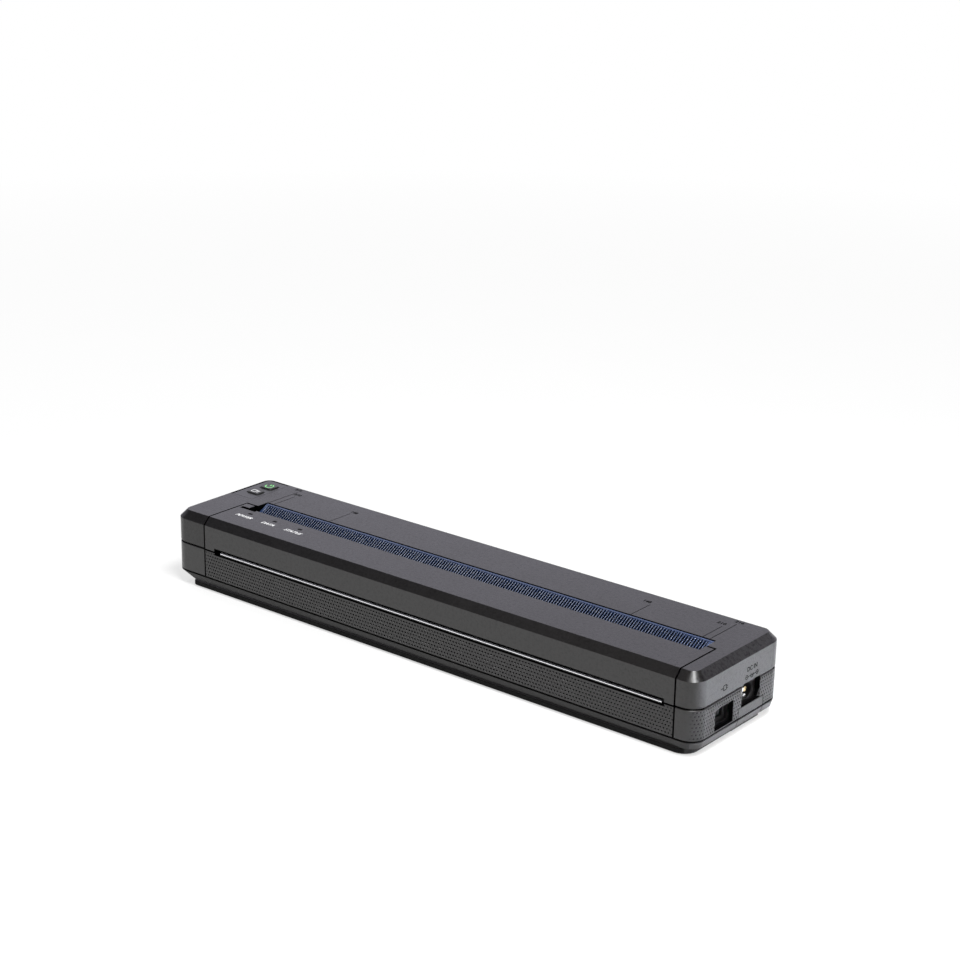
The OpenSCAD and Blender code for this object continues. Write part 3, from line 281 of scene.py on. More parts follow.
world = bpy.data.worlds.new("studio")
world.use_nodes = True
scene.world = world
sky = Finish("studio", world.node_tree)
toward = sky.node("ShaderNodeTexCoord", out="Generated")
parts = sky.node("ShaderNodeSeparateXYZ", sockets={0: toward}).socket.node
height = Wire(parts.outputs[2]) + Wire(parts.outputs[0]) * lower_on_right
dark = ((height - sweep_ends) / (ceiling_starts - sweep_ends)).limit()
mirrored = horizon_white - dark * (horizon_white - ceiling_dark)
rays = sky.node("ShaderNodeLightPath").socket.node
seen = Wire(rays.outputs["Is Camera Ray"])
in_gloss = Wire(rays.outputs["Is Glossy Ray"]) + Wire(rays.outputs["Is Transmission Ray"])
shown = seen + (1 - seen) * mirrored
tint = sky.mix(seen, grey(1.0, horizon_tint), grey(1.0))
lit = sky.node("ShaderNodeBackground", sockets={"Color": grey(1.0), "Strength": world_light})
white = sky.node("ShaderNodeBackground", sockets={"Color": tint, "Strength": shown})
both = sky.node("ShaderNodeMixShader", sockets={0: (seen + in_gloss).limit(), 1: lit, 2: white})
sky.node("ShaderNodeOutputWorld", sockets={"Surface": both})
print("world light:", world_light)

# %% The lamps
def softbox(name, place_mm, aim_mm, size_mm, watts, spread=180, colour=(1.0, 1.0, 1.0)):
    """A flat square lamp that looks at a point. A small spread keeps its light in a beam."""
    lamp = bpy.data.lights.new(name, "AREA")
    lamp.shape = "RECTANGLE"
    lamp.size, lamp.size_y = size_mm[0] * mm, size_mm[1] * mm
    lamp.energy = watts
    lamp.spread = math.radians(spread)
    lamp.color = colour
    holder = bpy.data.objects.new(name, lamp)
    scene.collection.objects.link(holder)
    place, target = Vector(place_mm) * mm, Vector(aim_mm) * mm
    spin = (target - place).to_track_quat("-Z", "Y").to_matrix().to_4x4()
    holder.matrix_world = Matrix.Translation(place) @ spin


softbox("overhead_lamp", (450, -200, 1100), (60, 0, 15), (330, 330), 14.0)
softbox("rib_lamp", (-640, 150, 850), (0, 0, 15), (200, 200), 1.6)
softbox("table_lamp", (205, 32, 520), (198, 30, 0), (90, 90), 0.13, 18, (0.93, 0.96, 1.1))

# %% The table
table_radius = 6
all_glow_from_mm = 2600
glow_share = 0.62

bpy.ops.object.select_all(action="DESELECT")
bpy.ops.mesh.primitive_circle_add(vertices=96, radius=table_radius, fill_type="NGON",
                                  location=(0, 0, 0))
table = bpy.context.object
table.name = "table"
ground = Finish("white_table")
here, x, y, z = ground.place()
far = ((x * x + y * y).alone("SQRT") / all_glow_from_mm).limit()
rays = ground.node("ShaderNodeLightPath").socket.node
camera_sees = Wire(rays.outputs["Is Camera Ray"])
speck = ground.noise(here, 0.02)
paint = ground.mix(speck, grey(0.93), grey(0.96))
matt = ground.node("ShaderNodeBsdfDiffuse", sockets={"Color": paint})
glow = ground.node("ShaderNodeEmission", sockets={"Color": grey(1.0), "Strength": 1.0})
share = (camera_sees * glow_share + far).limit()
surface = ground.node("ShaderNodeMixShader", sockets={0: share, 1: matt, 2: glow})
sides = ground.node("ShaderNodeNewGeometry").socket.node
from_below = camera_sees * Wire(sides.outputs["Backfacing"])
gone = ground.node("ShaderNodeBsdfTransparent")
surface = ground.node("ShaderNodeMixShader", sockets={0: from_below, 1: surface, 2: gone})
ground.node("ShaderNodeOutputMaterial", sockets={"Surface": surface})
table.data.materials.append(ground.material)
table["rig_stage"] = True
print("table is", round(table.dimensions.x), "m across")

# %% [markdown]
# ## Moulded plastics
# The casing is black ABS, moulded in a spark-eroded tool, so it is covered in a fine grain that
# breaks up reflections. A flat colour would look like painted card. A fine noise makes the grain,
# in the bump and the roughness, a broad faint one makes the shell uneven, as every real one is,
# and a third leaves small dark pits. They read the place on the piece in millimetres, so the grain
# keeps its size. Masks of the same measures as the solids paint shade into gaps, lines and dimples.

# %% Grained plastic
plastic_ior = 1.54


def grained(name, colour, roughness, grain_per_mm=1.3, grain_mm=0.05, mottle=0.3, extra=None):
    """A moulded plastic. extra(finish, spot, relief) gives painted shade, relief and unlit share.
    """
    finish = Finish(name)
    here, x, y, z = finish.place()
    grain = finish.noise(here, grain_per_mm, detail=4.0, roughness=0.7)
    broad = finish.noise(here, 0.07, detail=2.0)
    shade = 1 + (grain - 0.5) * mottle + (broad - 0.5) * mottle * 0.6
    relief = finish.bump(grain, grain_mm)
    rough = roughness + (grain - 0.5) * 0.16 + (broad - 0.5) * 0.06
    unlit = {}
    if extra:
        # Painted shade darkens the tone, and the unlit share holds painted shade and the grain's
        # pits.
        painted_darker, relief, painted_shade_and_pits = extra(finish, (here, x, y, z), relief)
        shade = shade * painted_darker
        unlit = {"Unlit": painted_shade_and_pits.limit()}
    tone = finish.node("ShaderNodeVectorMath", {"operation": "SCALE"},
                       {0: colour[:3], "Scale": shade})
    return finish.show(Base_Color=tone, Roughness=rough.limit(0.05, 1.0), Normal=relief,
                       IOR=plastic_ior, **unlit)


def dot_rows(along, up, pitch, radius):
    """1 inside round dots on staggered rows a pitch apart, 0 between them, with a soft edge."""
    row = (up / pitch).alone("FLOOR")
    shift = row.math("FLOORED_MODULO", row, 2.0) * 0.5
    across = (along / pitch + shift).alone("FRACT") - 0.5
    upward = (up / pitch).alone("FRACT") - 0.5
    reach = across * across + upward * upward
    edge = radius / pitch
    return ((edge * edge - reach) / (edge * edge * 0.55)).limit()


print("plastic ready")

# %% Where the casing's features lie
case_half_l, case_half_w, corner = 127.5, 27.5, 6.0
case_top, top_bevel, bevel_cos = 31.2, 3.0, 0.707
wall_foot, dots_top = 6.3, 17.3
pitch, dimple_r, dimple_deep = 1.38, 0.42, 0.2
first_row = 6.55 - 4 * pitch
rear_half = 88 * pitch
lip_line_from = 5.56
foot_line_from, foot_line_to = 2.45, 2.95
plinth_from, plinth_to = 0.45, 2.6
end_seams, seam_half, seams_rear = (-110.15, 118.55), 0.36, -3.6
caps_rear, dots_start_x, dots_fade = -20.0, 124.3, 1.6
inlet_floor_x, front_inside_y = 124.0, -3.0
panel_front, panel_right, panel_floor = 1.4, -112.4, 30.9
panel_rim_left, panel_rim_rear = -123.35, 23.35
marks_left, marks_right, marks_front, marks_rear = -105.8, 114.0, 3.5, 24.0
mark_from, mark_to = 0.03, 0.4
rib_top_y, rib_top_z, ramp_slope, ribs_rear, guide_rear = 1.8, 30.62, 0.53, 1.75, 2.75
tear_bar_front, tear_shade_from, tear_shade_to = -26.9, 17.0, 17.66
print("casing is", 2 * case_half_l, "x", 2 * case_half_w, "x", case_top, "mm")


# %% What lies in shadow, in pits and in dots
def in_shadow(finish, spot, skin_mm=0.12, fade_mm=0.2):
    """Painted shade: 1 in gaps, grooves and on inner faces, 0 on the outer skin of the casing."""
    here, x, y, z = spot
    past_x = (abs(x) - (case_half_l - corner)).limit(0.0, corner)
    past_y = (abs(y) - (case_half_w - corner)).limit(0.0, corner)
    side = corner - (past_x * past_x + past_y * past_y).alone("SQRT")
    roof = case_top - z
    depth = side.lesser(roof).lesser((side + roof - top_bevel) * bevel_cos)
    out_x, out_y, out_z = finish.facing()
    inlet_floor = (out_x > 0.7) * (x > inlet_floor_x)
    inner_side = ((out_z < -0.3) + (out_y > 0.3) * (y < front_inside_y)).limit()
    deep = ((depth - skin_mm) / fade_mm).limit() * (z > wall_foot)
    deep = deep * (1 - inlet_floor) * (1 - inner_side)
    # Painted shade in the line under the wall, the line above the foot and the shut lines by the
    # caps.
    lines = (z > lip_line_from) * (z < wall_foot) + (z > foot_line_from) * (z < foot_line_to)
    seams = (abs(x - end_seams[0]) < seam_half) + (abs(x - end_seams[1]) < seam_half)
    seams = seams * (y < seams_rear) * (z > wall_foot)
    return (deep + lines * (abs(out_z) < 0.5) + seams).limit()


def pits(finish, here, depth):
    """The small dark pits between the grains of the mould's eroded skin."""
    return ((finish.noise(here, 0.8, detail=3.0, roughness=0.65) - 0.47) * 4.0).limit() * depth


def shaded(finish, spot, relief, bevel_fade_mm=190):
    """Painted shade in the gaps, in the width marks, round the control panel, on the front bevel
    and on the front of the left cap. The right bevel gets deeper pits.
    """
    here, x, y, z = spot
    out_x, out_y, out_z = finish.facing()
    # Painted shade in the gap round the control panel.
    rim = ((x < panel_rim_left) + (y > panel_rim_rear)).limit()
    rim = rim * (x < panel_right) * (y > panel_front) * (z > panel_floor)
    # Painted shade on the front bevel, strongest at the left end and fading out to the right.
    front_bevel_shade = (out_y < -0.5) * (out_z > 0.5) * (1 - (x + case_half_l) / bevel_fade_mm).limit()
    right_bevel = (out_x > 0.5) * (out_z > 0.5)
    # Painted shade on the front face of the left end cap.
    left_cap_shade = (x < end_seams[0]) * (out_y < -0.9)
    # Painted shade in the grooves of the width marks.
    marks = (z < case_top - mark_from) * (z > case_top - mark_to) * (out_z > 0.3)
    marks = marks * (y > marks_front) * (y < marks_rear) * (x > marks_left) * (x < marks_right)
    skin = pits(finish, here, 0.16 + right_bevel * 0.36)
    return 1 - rim * 0.5, relief, (
        in_shadow(finish, spot) + rim * 0.8 + marks * 0.9
        + front_bevel_shade * 0.5 + left_cap_shade * 0.14 + skin)


def ribbed(finish, spot, relief):
    """Painted shade on the guide between its ribs and along its rear edge."""
    here, x, y, z = spot
    out_x, out_y, out_z = finish.facing()
    under_rib_tops = rib_top_z + (y - rib_top_y) * ramp_slope - z
    # Painted shade between the ribs, on their sides and along the guide's rear edge.
    rib_valley_shade = ((under_rib_tops - 0.08) / 0.25).limit()
    dark = ((rib_valley_shade + (abs(out_x) > 0.6)) * (y < ribs_rear) + (y > guide_rear)).limit()
    return 1 - dark * 0.5, relief, dark * 0.74


def dotted(finish, spot, relief):
    """Painted shade and relief of the dimples, in staggered rows that run round the corners, and
    painted shade on the plinth, on the front below the wall and in the gaps.
    """
    here, x, y, z = spot
    core_x = x.limit(corner - case_half_l, case_half_l - corner)
    core_y = y.limit(corner - case_half_w, case_half_w - corner)
    swing = x.math("ARCTAN2", x - core_x, core_y - y)
    along = core_x + swing * corner + x.alone("SIGN") * (core_y + (case_half_w - corner))
    rear = (y > case_half_w - 1.0) * (abs(x) < rear_half)
    along = along * (1 - rear) + x * rear
    out_x, out_y, out_z = finish.facing()
    upright = abs(out_z) < 0.3
    outside = (abs(x) > case_half_l - 0.6) + (abs(y) > case_half_w - 0.6)
    outside = outside + (abs(x) > case_half_l - corner) * (abs(y) > case_half_w - corner)
    band = (z > wall_foot) * (z < dots_top) * upright * outside.limit()
    caps = ((x < end_seams[0]) + (x > end_seams[1])) * (y < caps_rear)
    there = 1 - caps * (1 - ((abs(x) - dots_start_x) / dots_fade).limit())
    # The dimples are made darker and partly unlit, as painted shade in them.
    dots = dot_rows(along, z - first_row, pitch, dimple_r) * band * there
    # Painted shade on the plinth and on the front faces below the wall.
    plinth_shade = (z < plinth_to) * (z > plinth_from) * upright
    front_foot_shade = (z < lip_line_from) * (out_y < -0.8)
    return (1 - dots * 0.5) * (1 - plinth_shade * 0.4), finish.bump(1 - dots, 0.14, relief), (
        dots * 0.55 + plinth_shade * 0.45 + front_foot_shade * 0.35 + pits(finish, here, 0.1)
        + in_shadow(finish, spot))


print("masks ready")

# %% The casing's plastics
shell_tone = grey(0.009, (1.08, 0.98, 0.94))
finishes = {}
finishes["smooth_shell"] = grained("smooth_shell", shell_tone, 0.31, 1.3, 0.06, 0.4, shaded)
finishes["dotted_shell"] = grained("dotted_shell", shell_tone, 0.33, 1.3, 0.06, 0.4, dotted)
finishes["panel_plastic"] = grained("panel_plastic", grey(0.01), 0.3, 3.0, 0.006)
finishes["button_plastic"] = grained("button_plastic", grey(0.03), 0.42, 3.0, 0.006)
finishes["black_plastic"] = grained("black_plastic", grey(0.008), 0.42, 2.2, 0.01)
finishes["white_plastic"] = grained("white_plastic", (0.62, 0.61, 0.57, 1), 0.42, 2.0, 0.006,
                                    0.05)
finishes["blue_guide"] = grained("blue_guide", (0.03, 0.052, 0.125, 1), 0.34, 3.0, 0.006,
                                 0.15, ribbed)
print("plastics:", len(finishes))

# %% [markdown]
# ## Metals, rubber and the rest
# Ground steel, zinc-plated sheet, extruded aluminium and brass differ less in colour than in how
# they were worked. Grinding leaves fine lines one way, plating a faint cloudiness, and rubber a
# dusty bloom. Each is the same recipe with a stretched or an even noise.

# %% Worked metals
def metal(name, colour, roughness, stretch, lines=0.12, relief_mm=0.004, cloud=0.1):
    """A worked metal, scratched along one axis, with painted shade on the tear bar's lower part."""
    finish = Finish(name)
    here, x, y, z = finish.place()
    drawn = finish.node("ShaderNodeVectorMath", {"operation": "MULTIPLY"}, {0: here, 1: stretch})
    scratch = finish.noise(drawn, 1.0, detail=4.0, roughness=0.65)
    clouds = finish.noise(here, 0.5, detail=3.0)
    shade = 1 + (scratch - 0.5) * lines + (clouds - 0.5) * cloud
    # Painted shade on the lower part of the tear bar's front, below its bright upper edge.
    tear_bar_lower_shade = (y < tear_bar_front) * (z < tear_shade_to) * (z > tear_shade_from)
    tone = finish.node("ShaderNodeVectorMath", {"operation": "SCALE"},
                       {0: colour, "Scale": shade * (1 - tear_bar_lower_shade * 0.93)})
    rough = roughness + (scratch - 0.5) * 0.25 + (clouds - 0.5) * 0.1
    return finish.show(Base_Color=tone, Metallic=1.0, Roughness=rough.limit(0.06, 1.0),
                       Normal=finish.bump(scratch, relief_mm))


finishes["bright_steel"] = metal("bright_steel", (0.86, 0.86, 0.87), 0.24, (0.3, 9.0, 9.0))
finishes["sheet_steel"] = metal("sheet_steel", (0.58, 0.59, 0.6), 0.36, (2.0, 2.0, 2.0), 0.1)
finishes["sink_aluminium"] = metal("sink_aluminium", (0.7, 0.71, 0.73), 0.38, (0.2, 6.0, 6.0))
finishes["brass_gear"] = metal("brass_gear", (0.75, 0.55, 0.24), 0.28, (6.0, 2.0, 2.0))
finishes["brass_contact"] = metal("brass_contact", (0.82, 0.66, 0.36), 0.22, (3.0, 3.0, 3.0))
print("metals done, finishes so far:", len(finishes))


# %% Rubber, film, board and ceramic
def rubber(name, level, roughness, bloom):
    """Rubber with fine pores and a dusty bloom."""
    finish = Finish(name)
    here, x, y, z = finish.place()
    dust = finish.noise(here, 0.8, detail=4.0, roughness=0.6)
    pores = finish.noise(here, 5.0, detail=2.0)
    tone = finish.mix(dust * bloom, grey(level), grey(level * 2.6 + 0.01))
    return finish.show(Base_Color=tone, Roughness=(roughness + (dust - 0.5) * 0.2).limit(),
                       Normal=finish.bump(pores, 0.01), Specular_IOR_Level=0.35)


def board():
    """Green solder mask with raised tracks under it."""
    finish = Finish("circuit_board")
    here, x, y, z = finish.place()
    weave = finish.node("ShaderNodeTexWave", {"bands_direction": "X"},
                        {"Vector": here, "Scale": 0.9, "Distortion": 1.2, "Detail": 2.0})
    copper = finish.noise(here, 0.35, detail=1.0)
    tracks = finish.node("ShaderNodeMapRange", {}, {
        "Value": copper, "From Min": 0.48, "From Max": 0.5, "To Min": 0.0, "To Max": 1.0})
    tone = finish.mix(tracks * 0.8, (0.008, 0.05, 0.022, 1), (0.02, 0.11, 0.045, 1))
    return finish.show(Base_Color=tone, Roughness=(0.3 + weave * 0.1).limit(),
                       Normal=finish.bump(tracks, 0.03), Coat_Weight=0.3)


conductor_pitch = 0.5


def film():
    """Flat cable: flat conductors half a millimetre apart in a clear film."""
    finish = Finish("ribbon_plastic")
    here, x, y, z = finish.place()
    conductor = abs((x / conductor_pitch).alone("FRACT") - 0.5) < 0.27
    tone = finish.mix(conductor, (0.62, 0.58, 0.46, 1), (0.42, 0.38, 0.3, 1))
    return finish.show(Base_Color=tone, Roughness=0.3 + conductor * 0.1,
                       Normal=finish.bump(conductor, 0.02))


heater_y, heater_half, electrode_reach = -15.0, 0.3, 2.2


def ceramic():
    """Glazed ceramic with a dark line of heaters and fine electrodes on both sides of it."""
    finish = Finish("head_ceramic")
    here, x, y, z = finish.place()
    speck = finish.noise(here, 3.0, detail=3.0)
    tone = finish.mix(speck * 0.5, (0.66, 0.6, 0.46, 1), (0.5, 0.43, 0.3, 1))
    from_heater = abs(y - heater_y)
    tooth = abs((x / conductor_pitch).alone("FRACT") - 0.5)
    electrode = (from_heater < electrode_reach) * (tooth < 0.3)
    tone = finish.mix(electrode, tone, (0.42, 0.25, 0.06, 1))
    tone = finish.mix(from_heater < heater_half, tone, (0.02, 0.012, 0.01, 1))
    return finish.show(Base_Color=tone, Roughness=0.16 + speck * 0.1, Coat_Weight=0.5,
                       Normal=finish.bump(speck, 0.003))


def clear():
    """Smoked plastic, painted almost black for the unlit dark case that would show through it."""
    finish = Finish("clear_plastic")
    here, x, y, z = finish.place()
    swirl = finish.noise(here, 0.9, detail=2.0)
    tone = finish.mix(swirl, (0.002, 0.002, 0.002, 1), (0.006, 0.006, 0.006, 1))
    return finish.show(Base_Color=tone, Roughness=0.6 + swirl * 0.2, IOR=1.2,
                       Normal=finish.bump(swirl, 0.01))


finishes["roller_rubber"] = rubber("roller_rubber", 0.02, 0.6, 0.35)
finishes["foot_rubber"] = rubber("foot_rubber", 0.014, 0.75, 0.5)
finishes["circuit_board"] = board()
finishes["ribbon_plastic"] = film()
finishes["head_ceramic"] = ceramic()
finishes["clear_plastic"] = clear()
missing = sorted(set(slot_of.values()) - set(finishes))
print("finishes:", len(finishes), "still missing:", missing)

# %% [markdown]
# ## Softened edges
# CAD leaves every edge knife sharp, and no moulded or stamped edge is. A real edge catches a thin
# line of light, and that line is what tells plastic from paper. Each solid is copied, its loose
# triangles are merged and joined into whole faces, and a bevel is cut along its sharp edges only.
# The copy then stands in for the solid, in the same place and on the same moving body.

# %% Copy a solid and soften it
sharp_degrees = 32


def lone(piece):
    """Selects one piece and nothing else."""
    bpy.ops.object.select_all(action="DESELECT")
    piece.select_set(True)
    bpy.context.view_layer.objects.active = piece


def apply_all(piece):
    """Applies the modifiers of a piece, first to last."""
    lone(piece)
    for modifier in list(piece.modifiers):
        bpy.ops.object.modifier_apply(modifier=modifier.name)


def merged_copy(node_name):
    """A free copy of a CAD solid with its triangles welded and its flat faces joined."""
    source = nodes[node_name]
    piece = bpy.data.objects.new(node_name + "_made", source.data.copy())
    scene.collection.objects.link(piece)
    lone(piece)
    bpy.ops.object.mode_set(mode="EDIT")
    bpy.ops.mesh.select_all(action="SELECT")
    bpy.ops.mesh.remove_doubles(threshold=0.0005 * mm)
    bpy.ops.mesh.dissolve_limited(angle_limit=math.radians(0.6))
    bpy.ops.object.mode_set(mode="OBJECT")
    return piece


def smooth_shading(piece):
    """Smooth across gentle edges. The wide faces keep their true direction, so flats stay flat."""
    lone(piece)
    bpy.ops.object.shade_smooth_by_angle(angle=math.radians(sharp_degrees))
    piece.modifiers.new("even", "WEIGHTED_NORMAL").keep_sharp = True
    apply_all(piece)


def block(x0, x1, y0, y1, z0, z1, edge_mm=0):
    """A block between two corners, in millimetres, its place written into its mesh."""
    bpy.ops.object.select_all(action="DESELECT")
    bpy.ops.mesh.primitive_cube_add(size=1, location=(0, 0, 0))
    solid = bpy.context.object
    solid.scale = ((x1 - x0) * mm, (y1 - y0) * mm, (z1 - z0) * mm)
    solid.location = ((x0 + x1) / 2 * mm, (y0 + y1) / 2 * mm, (z0 + z1) / 2 * mm)
    bpy.ops.object.transform_apply(location=True, rotation=True, scale=True)
    if edge_mm:
        rounding = solid.modifiers.new("edge", "BEVEL")
        rounding.width = edge_mm * mm
        rounding.segments = 2
        apply_all(solid)
    return solid


def belongs(piece, name, host, surface):
    """Gives a new piece its name, its moving body and its surface."""
    piece.name = name
    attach(piece, body_of[host])
    piece.data.materials.clear()
    piece.data.materials.append(surface)
    return piece


def stand_in(piece, name, node_name):
    """The piece takes the place, the body and the finish of a solid."""
    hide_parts(node_name)
    slot = slot_of[node_name]
    return belongs(piece, name, node_name, finishes[slot])


def joined(parts):
    """Makes one piece of several, which may be only one already."""
    lone(parts[0])
    for part in parts[1:]:
        part.select_set(True)
    if len(parts) > 1:
        bpy.ops.object.join()
    return bpy.context.object


def cut(piece, tools, operation="DIFFERENCE"):
    """Cuts shapes out of a piece, or keeps what lies in them, and throws the tools away."""
    for tool in tools:
        hollow = piece.modifiers.new("cut", "BOOLEAN")
        hollow.operation = operation
        hollow.solver = "EXACT"
        hollow.object = tool
        apply_all(piece)
        bpy.data.objects.remove(tool)


def soften(node_name, edge_mm):
    """A copy of a solid, cut, bevelled and shaded, that stands in for it."""
    piece = merged_copy(node_name)
    before = len(piece.data.polygons)
    if node_name in cuts:
        cut(piece, cuts[node_name]())
    if edge_mm:
        bevel = piece.modifiers.new("edge", "BEVEL")
        bevel.width = edge_mm * mm
        bevel.segments = 2
        bevel.limit_method = "ANGLE"
        bevel.angle_limit = math.radians(sharp_degrees)
        bevel.use_clamp_overlap = True
        apply_all(piece)
    cut(piece, trays(node_name))
    smooth_shading(piece)
    print(node_name, "faces", before, "->", len(piece.data.polygons))
    return stand_in(piece, piece.name, node_name)


# %% What is pressed or moulded into the solids first
def cross_recesses(places, z0, z1, reach, slot_mm):
    """Two crossed slots for every screw, as a driver needs."""
    tools = []
    for x, y in places:
        tools.append(block(x - reach, x + reach, y - slot_mm / 2, y + slot_mm / 2, z0, z1))
        tools.append(block(x - slot_mm / 2, x + slot_mm / 2, y - reach, y + reach, z0, z1))
    return tools


def grip():
    """Seven grooves for the thumb and an arrow that shows which way the cover slides."""
    tools = [block(x, x + 1.0, 3.0, 14.6, 0.2, 0.95) for x in range(80, 94, 2)]
    bpy.ops.object.select_all(action="DESELECT")
    bpy.ops.mesh.primitive_cylinder_add(vertices=3, radius=3 * mm, depth=0.8 * mm,
                                        location=(98.5 * mm, 6.5 * mm, 0.6 * mm),
                                        rotation=(0, 0, math.radians(-90)))
    bpy.ops.object.transform_apply(location=True, rotation=True, scale=True)
    return tools + [bpy.context.object]


# Each field of dimples: its host, its start, its columns and rows, and the turn in degrees and
# the shift along x that take it from the front wall to its own.
plate_t = 0.3
front = -case_half_w
field_z0 = first_row + 4 * pitch
round_corner = case_half_l + case_half_w - 2 * corner + math.pi / 2 * corner
end_start, end_count, to_end = 95 * pitch - round_corner, 31, case_half_l - case_half_w
fields = {
    "front_dimples": ("front_panel", -79 * pitch, 164, 7, 0, 0),
    "rear_dimples": ("bottom_case", -rear_half, 176, 8, 180, 0),
    "right_dimples": ("bottom_case", end_start, end_count, 8, 90, to_end),
    "left_dimples": ("bottom_case", -end_start - end_count * pitch, end_count, 8, -90, -to_end),
}


def turned(piece, degrees, along_x):
    """Turns a piece made at the front to another side of the casing."""
    piece.rotation_euler = (0, 0, math.radians(degrees))
    piece.location = (along_x * mm, 0, 0)
    lone(piece)
    bpy.ops.object.transform_apply(location=True, rotation=True)
    return piece


def trays(node_name):
    """Shallow trays in the walls, which take the dimpled plates."""
    slack, tools = 0.004, []
    for host, start, count, rows, degrees, along_x in fields.values():
        if host == node_name:
            top = min(field_z0 + rows * pitch, dots_top)
            tools.append(turned(
                block(start - slack, start + count * pitch + slack, front - 0.1,
                      front + plate_t + slack, field_z0 - slack, top + slack), degrees, along_x))
    return tools


case_screw_places = ((-122.5, -22.5), (-107.3, 22.5), (113.4, 22.5), (122.3, -20.6))
cuts = {
    "case_screws": lambda: cross_recesses(case_screw_places, 4.5, 5.5, 1.25, 0.5),
    "battery_cover": grip,
}

# %% Soften what is moulded, stamped or turned
edge_of = {
    "top_cover": 0.15, "bottom_case": 0.15, "front_panel": 0.12, "release_cover": 0.15,
    "battery_cover": 0.2, "control_panel": 0.12, "power_button": 0.3, "feed_button": 0.3,
    "paper_guide": 0.1, "tear_bar": 0.05, "cable_socket": 0.08, "power_inlet": 0.15,
    "inlet_pin": 0.15, "inlet_contact": 0.05, "rubber_feet": 0.3, "cover_foot": 0.3,
    "case_screws": 0.1, "plate_screws": 0.1, "motor_screws": 0.1, "drive_motor": 0.3,
    "battery_pack": 0.5, "battery_contacts": 0.05, "left_side_plate": 0.06,
    "right_side_plate": 0.06, "head_heat_sink": 0.1, "print_head": 0.05, "platen_roller": 0.1,
    "platen_shaft": 0.1, "platen_bushes": 0.08, "platen_gear": 0, "reduction_gear": 0,
    "gear_post": 0.1, "motor_pinion": 0, "motor_shaft": 0.1, "head_pivot_rod": 0.1,
    "head_springs": 0, "head_ribbon": 0.02, "paper_sensor": 0.08, "main_board": 0.04,
    "interface_board": 0.04, "switch_board": 0.04, "status_leds": 0.08, "hinge_pins": 0.1,
    "status_light_guide": 0,
}
made = {name: soften(name, edge) for name, edge in edge_of.items()}
print("softened", len(made), "of", len(nodes))

# %% [markdown]
# ## The dimpled plates
# The walls of the lower shell are moulded with about 2,900 round dimples. One is made properly: a
# small plate with a tapered pocket cut in it, of which only the front is kept. It is repeated along
# a row, every second row starts half a step later, and the rows are stacked and welded. Plain half
# cells square off the ends. The rim is then pulled back and closed, and the plate is turned to its
# wall, where it fills a tray. In the rounded corners the dots are only painted shade and relief.

# %% One cell
def none_picked(piece, kind):
    """Deselects every corner, edge and face, so that the next pick starts clean."""
    lone(piece)
    bpy.ops.object.mode_set(mode="EDIT")
    bpy.ops.mesh.select_mode(type=kind)
    bpy.ops.mesh.select_all(action="DESELECT")
    bpy.ops.object.mode_set(mode="OBJECT")


def keep_only(piece, wanted):
    """Deletes the faces of a piece for which wanted(middle) is false."""
    none_picked(piece, "FACE")
    for face in piece.data.polygons:
        face.select = not wanted(face.center / mm)
    bpy.ops.object.mode_set(mode="EDIT")
    bpy.ops.mesh.delete(type="FACE")
    bpy.ops.object.mode_set(mode="OBJECT")


rim_taper = 0.12
cell = block(0, pitch, front, front + plate_t, 0, pitch)
bpy.ops.object.select_all(action="DESELECT")
bpy.ops.mesh.primitive_cone_add(
    vertices=10, radius1=(dimple_r + rim_taper) * mm, radius2=(dimple_r - rim_taper) * mm,
    depth=2 * dimple_deep * mm, location=(pitch / 2 * mm, front * mm, pitch / 2 * mm),
    rotation=(math.radians(-90), 0, 0))
bpy.ops.object.transform_apply(location=True, rotation=True, scale=True)
cut(cell, [bpy.context.object])
margin = 0.01
keep_only(cell, lambda middle: margin < middle.x < pitch - margin
          and margin < middle.z < pitch - margin and middle.y < front + plate_t - margin)
none_picked(cell, "EDGE")
for edge in cell.data.edges:
    ends = [cell.data.vertices[v].co.z / mm for v in edge.vertices]
    edge.select = max(ends) < margin or min(ends) > pitch - margin
bpy.ops.object.mode_set(mode="EDIT")
bpy.ops.mesh.subdivide(number_cuts=1)
bpy.ops.object.mode_set(mode="OBJECT")
print("one cell has", len(cell.data.polygons), "faces")

# %% Rows, stacked and welded
def repeated(piece, count, step_mm):
    """Copies a piece at even steps and welds each copy to the last."""
    repeat = piece.modifiers.new("repeat", "ARRAY")
    repeat.count = count
    repeat.use_relative_offset = False
    repeat.use_constant_offset = True
    repeat.constant_offset_displace = [step * mm for step in step_mm]
    repeat.use_merge_vertices = True
    repeat.merge_threshold = 0.002 * mm
    apply_all(piece)
    return piece


def moved(piece, x, z):
    """Moves a piece, in millimetres, and writes the place into its mesh."""
    piece.location = (x * mm, 0, z * mm)
    lone(piece)
    bpy.ops.object.transform_apply(location=True)
    return piece


